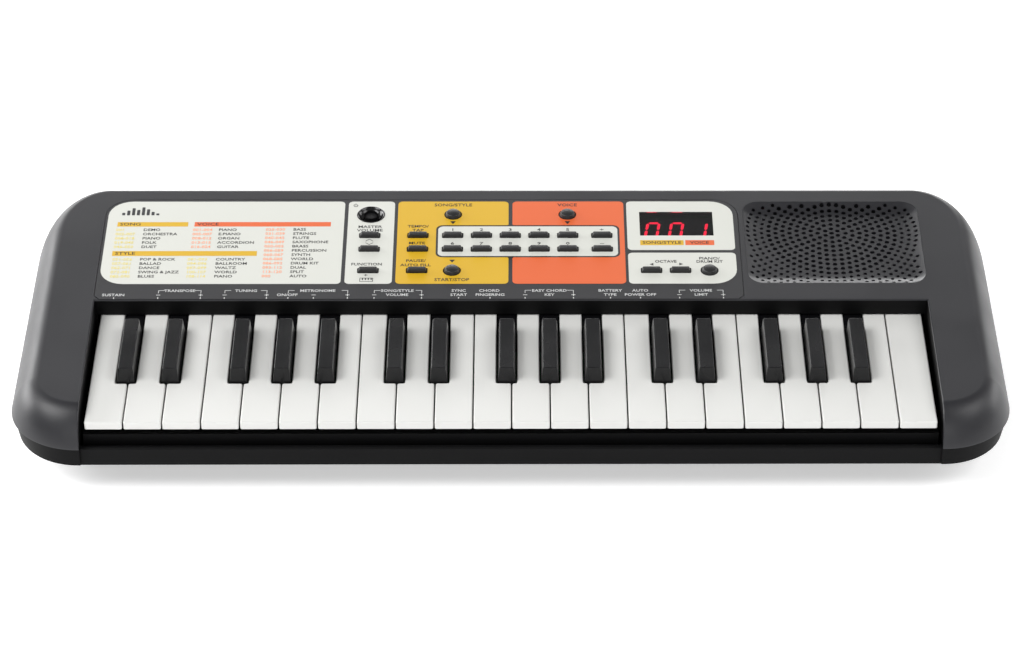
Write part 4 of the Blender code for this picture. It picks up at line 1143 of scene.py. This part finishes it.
# %% Build the display
FACE_DEPTH = 4.3
window_middle = ((WINDOW[0] + WINDOW[2]) / 2, (WINDOW[1] + WINDOW[3]) / 2)
DIGIT_PITCH, DIGIT_TALL, DIGIT_WIDE, SLANT = 12.7, 14.2, 7.6, math.tan(math.radians(8))
body_outline = rounded_box(WINDOW[0] + 0.5, WINDOW[1] + 0.5, WINDOW[2] - 0.5, WINDOW[3] - 0.5, 0.4, 3)
piece(
    "display_body",
    moved(loft([at(body_outline, -6.5)] + rounded_top(body_outline, -FACE_DEPTH, 0.2, 3)), PANEL),
    LED_BODY, replaces=("display_module",),
)  # fmt: skip


def segment(start, end, width=1.5, shy=0.35):
    """A bar with pointed ends between two corners of a digit."""
    a, b = Vector(start), Vector(end)
    along = (b - a).normalized()
    across = along.orthogonal() * width / 2
    a, b = a + along * shy, b - along * shy
    tip = along * width / 2
    outline = [a, a + tip - across, b - tip - across, b, b - tip + across, a + tip + across]
    return [tuple(point) for point in outline[::-1]]


def digit_segments(lit, x, y):
    half_w, half_t = (DIGIT_WIDE - 1.5) / 2, (DIGIT_TALL - 1.5) / 2
    nodes = {
        "tl": (-half_w, half_t), "tr": (half_w, half_t), "ml": (-half_w, 0),
        "mr": (half_w, 0), "bl": (-half_w, -half_t), "br": (half_w, -half_t),
    }  # fmt: skip
    ends = {
        "a": ("tl", "tr"), "b": ("tr", "mr"), "c": ("mr", "br"), "d": ("bl", "br"),
        "e": ("ml", "bl"), "f": ("tl", "ml"), "g": ("ml", "mr"),
    }  # fmt: skip
    outlines = []
    for name in lit:
        outline = segment(nodes[ends[name][0]], nodes[ends[name][1]])
        outlines.append([(x + px + py * SLANT, y + py) for px, py in outline])
    return outlines


lit_outlines = []
for index, lit in enumerate(("abcdef", "abcdef", "bc")):
    lit_outlines += digit_segments(lit, window_middle[0] + DIGIT_PITCH * (index - 1), window_middle[1] - 0.6)
parts = marks(lit_outlines, -FACE_DEPTH - 0.05, -FACE_DEPTH + 0.12)
piece("display_digits", moved(gathered(parts), PANEL), LED_GLOW)
lens_outline = rounded_box(WINDOW[0] + 0.05, WINDOW[1] + 0.05, WINDOW[2] - 0.05, WINDOW[3] - 0.05, 0.35, 3)
piece("display_window", moved(plate([lens_outline], -SHEET_THICK, -0.02), PANEL), SMOKED)
print("segments lit:", len(lit_outlines))


# %% [markdown]
# ## Buttons
# A button cap is one moulding: a flange that the case holds down, a straight neck through the
# hole and a head whose sides lean in, with a rounded rim. A loft makes all of it in one skin:
# the same outline is widened for the flange and drawn in for the head.

# %% Shapes of the caps
FLANGE_TOP, FLANGE_BASE, STEM_END = -2.9, -4.1, -5.5
RISE = 1.7
END_TO_FRONT = 0.45  # how much a bar leans in front and behind, against its ends
FLANGE_OUT = BUTTON_ROOM + 0.9  # how far the flange reaches beyond the cap
ROUND_STEM, STEM_HALF = 2, (2, 1.5)  # radius of a round cap's stem, half sizes of a bar's


def bar_outline(place, grow, radius, lean=0.0):
    half_x, half_y = CAP_SIZE[0] / 2 + grow, CAP_SIZE[1] / 2 + grow
    half_x, half_y = half_x - lean, half_y - lean * END_TO_FRONT
    x, y = place
    return rounded_box(x - half_x, y - half_y, x + half_x, y + half_y, radius, 4)


def bar_head(place, base, rim_radius=0.4):
    """A bar button's neck and head, from a height up."""
    neck = bar_outline(place, 0, 0.55)
    head = bar_outline(place, 0, 0.6, lean=0.55)
    return [at(neck, base), at(neck, 0.15)] + rounded_top(head, RISE, rim_radius, 4)


def bar_button(place):
    flange = bar_outline(place, FLANGE_OUT, 0.6)
    rings = [at(flange, FLANGE_BASE), at(flange, FLANGE_TOP)]
    return loft(rings + bar_head(place, FLANGE_TOP))


def round_profile(radius, rise, flange_top, flange_base, lean=0.0):
    """A round cap with a rounded rim and a shallow dome."""
    rim, dome = 0.8, 0.35
    lip, flat_radius = radius + FLANGE_OUT, radius - lean - rim
    profile = [
        (ROUND_STEM, STEM_END), (ROUND_STEM, flange_base), (lip, flange_base), (lip, flange_top),
        (radius, flange_top), (radius, 0.1),
    ]  # fmt: skip
    for angle in edge_turns(5):
        profile.append((flat_radius + rim * math.cos(angle), rise - dome - rim * (1 - math.sin(angle))))
    for share in (0.75, 0.5, 0.25, 0):
        profile.append((flat_radius * share, rise - dome * share**2))
    return profile


def stem(place):
    (x, y), (half_x, half_y) = place, STEM_HALF
    return box((x - half_x, y - half_y, STEM_END), (x + half_x, y + half_y, FLANGE_BASE + 0.4))


# %% Build the buttons
for name, place in BARS.items():
    cap = piece(name + "_cap", moved(bar_button(place), PANEL), BUTTON_RUBBER, name, 40, (name,))
    boolean(cap, moved(stem(place), PANEL), "UNION")
    shade(cap, 40)
for name, place in ROUNDS.items():
    cap_mesh = turned(round_profile(ROUND_RADIUS, RISE + 0.4, FLANGE_TOP, FLANGE_BASE, 0.6), place)
    piece(name + "_cap", moved(cap_mesh, PANEL), BUTTON_RUBBER, name, 40, (name,))
keypad_x, keypad_y = BAR_SIZE[0] / 2 + KEYPAD_LIP, BAR_SIZE[1] / 2 + KEYPAD_LIP
web = rounded_box(
    DIGIT_X[0] - keypad_x, ROW_LOWER - keypad_y, DIGIT_X[-1] + keypad_x, ROW_UPPER + keypad_y, 1, 3
)
keypad = piece(
    "number_keypad_caps", moved(loft([at(web, FLANGE_BASE), at(web, FLANGE_TOP)]), PANEL),
    BUTTON_RUBBER, "number_keypad", 40, ("number_keypad",),
)  # fmt: skip
heads = gathered([loft(bar_head(place, FLANGE_TOP - 0.5)) for place in DIGITS])
boolean(keypad, moved(heads, PANEL), "UNION")
boolean(keypad, moved(gathered([stem(place) for place in DIGITS]), PANEL), "UNION")
shade(keypad, 40)
print("buttons:", len(BARS) + len(ROUNDS) + len(DIGITS))

# %% [markdown]
# ## The power button and its bezel
# The power button lies at the bottom of a glossy black dish, so that it isn't pressed by
# accident. The dish is a turned ring let into the film, and only its polish makes it read: it
# mirrors the lights as a bright crescent.

# %% Build the power button and the bezel
POWER_RADIUS, POWER_TOP = 3.7, -1.0
dish = [
    (POWER_RADIUS + 0.4, -4.4), (DISH_RADIUS - 0.05, -4.4), (DISH_RADIUS - 0.05, -0.1),
    (DISH_RADIUS - 0.15, 0.25), (DISH_RADIUS - 0.5, 0.38), (DISH_RADIUS - 0.85, 0.2),
    (DISH_RADIUS - 1.3, -0.5), (DISH_RADIUS - 2.0, -1.35), (DISH_RADIUS - 2.7, -1.9),
    (POWER_RADIUS + 0.4, -2.1),
]  # fmt: skip
bezel = moved(turned_ring(dish, POWER, 48), PANEL)
piece("power_bezel", bezel, BEZEL_ABS, "case", 40)
profile = round_profile(POWER_RADIUS, POWER_TOP + 0.15, -4.7, -5.3)
piece(
    "power_button_cap", moved(turned(profile, POWER), PANEL), BUTTON_RUBBER,
    "power_button", 40, ("power_button",),
)  # fmt: skip


# %% [markdown]
# ## White keys
# A white key is a thin moulding with a rounded edge all round its top. Seven shapes differ only
# in the notches that clear the black keys, so each outline is drawn from the boxes of the keys
# beside it. The joint's own pin and the stem that presses the contact are joined on below.

# %% Outlines and undersides of keys
KEY_LIP = 4.5
KEY_LOW_Z = KEY_TOP_Z - KEY_LIP
BLACK_ROOM = 0.75
KNUCKLE = 2.5
hinge = next(j for j in frame["joints"] if j["name"] == "white_key_c2_hinge")
PIVOT_Y = hinge["pos_m"][1] / MM
PIVOT_Z = KEY_LOW_Z + KNUCKLE * 0.2
STEM_Y = SLOT_Y - 27.4
WHITES = sorted(name for name in frame["nodes"] if name.startswith("white_key"))
BLACKS = sorted(name for name in frame["nodes"] if name.startswith("black_key"))
black_boxes = [low_high(name) for name in BLACKS]
NOTCH_FRONT = min(low.y for low, _ in black_boxes) - BLACK_ROOM


def white_outline(name):
    low, high = low_high(name)
    left, side, front, rear = low.x, high.x, low.y, PIVOT_Y
    left_cut = right_cut = None
    for black_low, black_high in black_boxes:
        notch_left, notch_right = black_low.x - BLACK_ROOM, black_high.x + BLACK_ROOM
        if notch_left < left < notch_right:
            left_cut = notch_right
        if notch_left < side < notch_right:
            right_cut = notch_left
    corners, radii = [(left, front), (side, front)], [0.9, 0.9]
    if right_cut is None:
        corners, radii = corners + [(side, rear)], radii + [0.6]
    else:
        corners += [(side, NOTCH_FRONT), (right_cut, NOTCH_FRONT), (right_cut, rear)]
        radii += [1.0, 0.9, 0.6]
    if left_cut is None:
        corners, radii = corners + [(left, rear)], radii + [0.6]
    else:
        corners += [(left_cut, rear), (left_cut, NOTCH_FRONT), (left, NOTCH_FRONT)]
        radii += [0.6, 0.9, 1.0]
    tail = (left_cut or left, right_cut or side)
    return filleted(corners, radii, 4), tail


def hinge_and_stem(left, side, top):
    """Side view of the pin, the web above it and the stem, drawn out along X."""
    pin = arc((PIVOT_Y, PIVOT_Z), KNUCKLE, 80, -200, 16)
    web_top = [(STEM_Y - 4, top), (PIVOT_Y - 3, top)]
    below = [
        (STEM_Y + 3, KEY_LOW_Z), (STEM_Y + 2.2, KEY_LOW_Z - 2.5),
        (STEM_Y - 2.2, KEY_LOW_Z - 2.5), (STEM_Y - 3, KEY_LOW_Z), (STEM_Y - 4, KEY_LOW_Z),
    ]  # fmt: skip
    return prism_x(web_top + pin + [(PIVOT_Y - 4, KEY_LOW_Z)] + below, left, side)


# %% Build the white keys
EDGE_ROUND = 0.8
for name in WHITES:
    outline, (tail_left, tail_right) = white_outline(name)
    rings = [at(drawn_in(outline, 0.25), KEY_LOW_Z), at(outline, KEY_LOW_Z + 0.25)]
    rings += rounded_top(outline, KEY_TOP_Z, EDGE_ROUND, 4)
    key = piece(name + "_shell", loft(rings), WHITE_KEY_ABS, name, 40, (name,))
    below = hinge_and_stem(tail_left + 0.4, tail_right - 0.4, KEY_LOW_Z + 1.5)
    boolean(key, below, "UNION")
    shade(key, 40)
    weigh_normals(key)
print("white keys:", len(WHITES), "of", len(key.data.polygons), "faces each")


# %% [markdown]
# ## Black keys
# The sharps are narrower at the top than at the foot, and their front leans back, so that a
# finger slides off them. The upright edges of the front are rounded, and it is these slim
# quarter rounds that draw the bright lines at each side.

# %% Build the black keys
BLACK_TOP_WIDTH, BLACK_SLOPE, BLACK_CAP = 7.4, 1.6, 45.7
CAP_FOOT_Z = KEY_TOP_Z - 2
for name in BLACKS:
    low, high = low_high(name)
    left, side, front = low.x, high.x, low.y
    rear, top = front + BLACK_CAP, high.z
    lean = (side - left - BLACK_TOP_WIDTH) / 2
    foot = rounded_box(left, front, side, rear, 0.8, 4)
    head = rounded_box(left + lean, front + BLACK_SLOPE, side - lean, rear - 0.2, 0.8, 4)
    rings = [at(foot, CAP_FOOT_Z)]
    rings += rounded_top(head, top, 0.5, 4)
    cap = piece(name + "_cap", loft(rings), BLACK_KEY_ABS, name, 40, (name,))
    tail = box((left, front + 0.3, KEY_LOW_Z), (side, PIVOT_Y - 3, KEY_TOP_Z - 0.4))
    boolean(cap, tail, "UNION")
    boolean(cap, hinge_and_stem(left + 0.2, side - 0.2, KEY_TOP_Z - 0.8), "UNION")
    shade(cap, 40)
    weigh_normals(cap)
print("black keys:", len(BLACKS))


# %% [markdown]
# ## The lower case
# The lower case is a tray in black ABS. It stands 1 mm in under the seam and slopes in below a
# crisp edge, so that the keyboard seems to float, and a bar closes the slot in front of the keys.
# The battery bay, screw wells and feet are on its underside, where a child's toy keeps them.

# %% Cut the lower case
BAR_FACE, BAR_TOP_Z = FRONT_Y + 3.0, 26.6
FLOOR_Z = BELLY_Z + WALL
cover_low, cover_high = low_high("battery_cover")
COVER_THICK, COVER_LAP, TONGUE, TONGUE_THICK, COVER_TRAVEL = 1.8, 3.0, 3.5, 0.8, 12.0
cover_half_x = cover_high.x - TONGUE + GAP
BAY = (
    -cover_half_x + COVER_LAP, cover_low.y + COVER_LAP,
    cover_half_x - COVER_LAP, cover_high.y - COVER_LAP,
)  # fmt: skip
BAY_TOP = BELLY_Z + COVER_THICK + GAP + 15.0

lower = piece(
    "lower_case", lower_shell(0, SEAM_Z - GAP, 24), LOWER_ABS, replaces=("bottom_case",),
)  # fmt: skip
tray = piece("tray", lower_shell(WALL, SEAM_Z + 20, 8), LOWER_ABS)
boolean(tray, box((-outer_half, FRONT_Y - FAR, -FAR), (outer_half, BAR_FACE + WALL, SEAM_Z + FAR)))
cut_away(lower, tray)
boolean(lower, box((-SLOT_HALF, FRONT_Y - FAR, -FAR), (SLOT_HALF, BAR_FACE, SEAM_Z + FAR)))
bar_top = [
    (BAR_FACE - 1, SEAM_Z + FAR), (BAR_FACE - 1, BAR_TOP_Z - 1.5), (BAR_FACE + 0.15, BAR_TOP_Z - 0.6),
    (BAR_FACE + 0.6, BAR_TOP_Z - 0.15), (BAR_FACE + 1.2, BAR_TOP_Z), (BAR_FACE + WALL * 2, BAR_TOP_Z),
    (BAR_FACE + WALL * 2, SEAM_Z + FAR),
]  # fmt: skip
boolean(lower, prism_x(bar_top[::-1], -SLOT_HALF, SLOT_HALF))
BAY_WALL = 1.6
block = COVER_LAP + TONGUE + BAY_WALL
ledge = BELLY_Z + COVER_THICK + GAP
boolean(
    lower,
    box(
        (BAY[0] - block, BAY[1] - block, BELLY_Z + 0.5),
        (BAY[2] + block, BAY[3] + block + COVER_TRAVEL, ledge + BAY_WALL),
    ),
    "UNION",
)
wall_low = (BAY[0] - BAY_WALL, BAY[1] - BAY_WALL, ledge)
wall_high = (BAY[2] + BAY_WALL, BAY[3] + BAY_WALL, BAY_TOP + BAY_WALL)
boolean(lower, box(wall_low, wall_high), "UNION")
boolean(lower, box((BAY[0], BAY[1], -FAR), (BAY[2], BAY[3], BAY_TOP)))
for widen, low_z in ((0, -FAR), (TONGUE, ledge - TONGUE_THICK - 2 * GAP)):
    half_x = cover_half_x + widen
    boolean(
        lower,
        box((-half_x, cover_low.y - GAP, low_z), (half_x, cover_high.y + COVER_TRAVEL + 1, ledge)),
    )
print("lower case:", len(lower.data.polygons), "faces")

# %% Screw wells, vents and the rating recess
FEET = [(x, y) for x in (-190, 190) for y in (FRONT_Y + 31.5, BACK_Y - 26)]
WELLS = [(x, y) for x in (-215, -150, -75, 75, 150, 215) for y in (-52.0, 62.0)]
wells = [turned([(3.7, -5), (3.7, BELLY_Z + 1.5)], place, 28) for place in WELLS]
boolean(lower, gathered(wells))
plate_recess = rounded_box(-150, -30, -90, 8, 2, 4)
boolean(lower, plate([plate_recess], -5, BELLY_Z + 0.35))
slots = [rounded_box(151 + 7 * n, 32, 153 + 7 * n, 66, 0.99, 4) for n in range(7)]
slots = [outline for outline in slots if all(math.dist(outline[0], well) > 12 for well in WELLS)]
boolean(lower, gathered([plate([outline], -5, FLOOR_Z + 2) for outline in slots]))
shade(lower, 32)
weigh_normals(lower)


# %% [markdown]
# ## Feet, screws and the battery cover
# Small parts tell the size of an object. The feet are moulded rubber buttons with a shallow ring,
# the screws are zinc-plated with a cross, and the cover is a sliding lid with grip ribs. All of
# them are turned or lofted and sit in the wells cut above.

# %% Zinc plate and cells
def plated(name, colour, roughness):
    """Bright plating over turned steel: metal with fine turning marks."""
    material, tree, shader = surface(name, Base_Color=linear(colour), Metallic=1.0, Roughness=roughness)
    marks_left = clouds(tree, 0.6, 3.0)
    limits = {"To Min": roughness - 0.08, "To Max": roughness + 0.12}
    worn = node(tree, "MapRange", {"Value": marks_left, **limits})
    tree.links.new(worn.outputs["Result"], shader.inputs["Roughness"])
    bumped(tree, shader, marks_left, 0.01)
    return material


ZINC = plated("zinc_plated_steel", "#b9bcc0", 0.3)
NICKEL = plated("nickel_plated_brass", "#c9c3b4", 0.22)

# %% Build the feet and the screws
FOOT_PROFILE = [
    (7.0, BELLY_Z + 0.8), (7.0, 1.0), (6.8, 0.4), (6.3, 0.08), (5.8, 0.0), (4.6, 0.0),
    (4.2, 0.5), (0, 0.6),
]  # fmt: skip
for index, place in enumerate(FEET):
    foot = turned([(r, z) for r, z in FOOT_PROFILE[::-1]], place)
    piece(f"foot_{index + 1}", foot, FOOT_RUBBER)
SCREW_PROFILE = [(1.6, BELLY_Z + 0.35), (2.6, BELLY_Z + 0.55), (3.0, BELLY_Z + 1.0), (3.0, BELLY_Z + 1.6)]
screw_parts = [turned([(0, BELLY_Z + 0.3)] + SCREW_PROFILE, place, 28) for place in WELLS]
screws = piece("case_screws", gathered(screw_parts), ZINC)
crosses = []
for x, y in WELLS:
    crosses.append(box((x - 1.7, y - 0.35, 0), (x + 1.7, y + 0.35, BELLY_Z + 1.1)))
    crosses.append(box((x - 0.35, y - 1.7, -0.01), (x + 0.35, y + 1.7, BELLY_Z + 1.11)))
for cross in crosses:
    boolean(screws, cross)
shade(screws, 35)

# %% Build the battery cover
cover_outline = rounded_box(-cover_half_x + GAP, cover_low.y, cover_half_x - GAP, cover_high.y, 1.2, 4)
cover_top = BELLY_Z + COVER_THICK
rings = [at(drawn_in(cover_outline, 0.4), BELLY_Z), at(drawn_in(cover_outline, 0.12), BELLY_Z + 0.12)]
rings += [at(cover_outline, BELLY_Z + 0.4), at(cover_outline, cover_top)]
cover = piece(
    "battery_cover_lid", loft(rings), LOWER_ABS, "battery_cover", 32, ("battery_cover",)
)
tongue_low = (cover_low.x, cover_low.y + 1, cover_top - TONGUE_THICK)
boolean(cover, box(tongue_low, (cover_high.x, cover_high.y - 1, cover_top - 0.05)), "UNION")
GRIP_PITCH, GRIP_HALF = 2.2, 9
grips = []
for n in range(4):
    y = cover_high.y - 3 - GRIP_PITCH * n
    groove = rounded_box(-GRIP_HALF, y - 0.4, GRIP_HALF, y + 0.4, 0.35, 3)
    grips.append(plate([groove], -5, BELLY_Z + 0.4))
arrow = [(-3, cover_low.y + 12), (3, cover_low.y + 12), (0, cover_low.y + 17)]
boolean(cover, gathered(grips + [plate([arrow], -5, BELLY_Z + 0.3)]))
shade(cover, 32)
print("cover spans", [round(value, 1) for value in (cover_high - cover_low)])


# %% [markdown]
# ## Sockets at the back
# The socket bodies are part of the circuit board in the frame. What shows from outside is a metal
# ring round the headphone hole and the pin of the power socket, both turned.

# %% Build the socket rings
SOCKET_BORE, SOCKET_RING = 3.6, 4.2  # radii of the ring, inside and outside
ring_profile = [
    (SOCKET_BORE, -2.2), (SOCKET_RING, -2.2), (SOCKET_RING, -0.25), (SOCKET_RING - 0.2, -0.05),
    (SOCKET_BORE + 0.15, -0.05), (SOCKET_BORE, -0.2),
]  # fmt: skip
BACK_TURN = Matrix(((-1, 0, 0, 0), (0, 0, 1, 0), (0, 1, 0, 0), (0, 0, 0, 1)))  # upright to backwards
for name, x in SOCKETS.items():
    place = Matrix.Translation((x, BACK_Y, SOCKET_Z)) @ BACK_TURN
    material = NICKEL if name == "headphone_socket" else BEZEL_ABS
    piece(name + "_ring", moved(turned_ring(ring_profile), place), material)
pin = turned([(0.95, -14), (0.95, -4.5), (0.7, -4.0), (0.2, -3.8)], steps=20)
pin_place = Matrix.Translation((SOCKETS["power_socket"], BACK_Y, SOCKET_Z)) @ BACK_TURN
piece("power_socket_pin", moved(pin, pin_place), NICKEL)


# %% [markdown]
# ## Finishes for the parts inside
# The boards, the speaker and the key frame keep their own shapes from the frame. They only show
# through the grille, the window and the gaps, but each still gets the surface of its real
# material: woven glass under green resist, pressed and plated steel, plain black chassis plastic.

# %% Fibreglass board, pressed steel and the parts that wear them
BOARD, board_tree, board_shader = surface(
    "fibreglass_green_resist", Base_Color=linear("#1e5434"), Roughness=0.4, IOR=1.5
)
board_place = node(board_tree, "TexCoord").outputs["Object"]
# The cloth in a board has threads about 0.5 mm apart.
weave = node(
    board_tree, "TexChecker",
    {
        "Vector": board_place, "Scale": 1 / (0.5 * MM),
        "Color1": linear("#1a4c2e"), "Color2": linear("#226039"),
    },
)  # fmt: skip
board_tree.links.new(weave.outputs["Color"], board_shader.inputs["Base Color"])
bumped(board_tree, board_shader, weave.outputs["Fac"], 0.01)
STEEL = plated("speaker_pressed_steel_black", "#3a3a3d", 0.45)
INSIDE_FINISHES = {
    "main_board": BOARD,
    "contact_board": BOARD,
    "speaker": STEEL,
    "key_frame": CHASSIS_ABS,
}
for name, material in INSIDE_FINISHES.items():
    slots_of = frame["nodes"][name].material_slots
    for material_slot in slots_of:
        material_slot.material = material
    print(name, "wears", material.name)


# %% [markdown]
# ## Floor, lights and air
# A product picture stands the object on a white sweep between large soft lights. The ends of the
# case catch the side lights as long pale bands, the top stays dark because nothing bright stands
# where it mirrors to, and the floor glows almost white. Area lights copy the soft boxes, and a
# plain grey world stands for the walls of the studio. The floor itself glows a little, as a light
# table does, which washes the shadow out.

# %% The floor
PAPER, paper_tree, paper_shader = surface(
    "floor_white_paper", Base_Color=linear("#f4f4f4"), Roughness=0.9,
    Emission_Color=linear("#ffffff"), Emission_Strength=0.45,
)  # fmt: skip
bumped(paper_tree, paper_shader, clouds(paper_tree, 4, 3.0), 0.02)
bm = bmesh.new()
bmesh.ops.create_grid(bm, x_segments=1, y_segments=1, size=8)
floor_mesh = bpy.data.meshes.new("floor")
bm.to_mesh(floor_mesh)
bm.free()
floor = bpy.data.objects.new("floor", floor_mesh)
bpy.context.scene.collection.objects.link(floor)
floor_mesh.materials.append(PAPER)
floor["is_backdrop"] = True


# %% The lights
def soft_box(name, place, aim, size, power, colour="#ffffff"):
    """A rectangular soft light that looks at a point. Places and sizes are in metres."""
    light = bpy.data.lights.new(name, "AREA")
    light.shape = "RECTANGLE"
    light.size, light.size_y = size
    light.energy = power
    light.color = linear(colour)[:3]
    obj = bpy.data.objects.new(name, light)
    bpy.context.scene.collection.objects.link(obj)
    obj.location = place
    obj.rotation_euler = (Vector(aim) - Vector(place)).to_track_quat("-Z", "Y").to_euler()
    return obj


soft_box("light_top_left", (-1.6, -0.5, 1.9), (0, 0, 0), (1.5, 1.2), 44)
soft_box("light_top_right", (1.7, -0.5, 1.8), (0, 0, 0), (1.3, 1.1), 20)
soft_box("light_behind", (-0.3, 2.1, 0.42), (0, 0, 0.03), (2.8, 0.62), 36)
soft_box("light_left", (-1.7, 0.8, 0.42), (0, 0, 0.03), (1.2, 0.6), 24)
soft_box("light_right", (1.8, 0.8, 0.42), (0, 0, 0.03), (1.2, 0.6), 10)
soft_box("light_front", (0, -2.2, 1.0), (0, 0, 0.03), (2.4, 0.8), 12)
world = bpy.data.worlds.new("studio_walls")
bpy.context.scene.world = world
world.use_nodes = True
background = world.node_tree.nodes["Background"]
background.inputs["Color"].default_value = linear("#ffffff")
background.inputs["Strength"].default_value = 0.28
bpy.context.scene.view_settings.view_transform = "Standard"


# %% [markdown]
# ## Print the size and finish
# The dressed model must fill the same box as the frame, so both boxes are written down to be
# compared.

# %% Write the sizes and finish
VISUAL_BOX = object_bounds()
for name, (low, high) in (("frame", CAD_BOX), ("dressed", VISUAL_BOX)):
    print(name, "box in mm:", [round(v / MM, 2) for v in low], [round(v / MM, 2) for v in high])
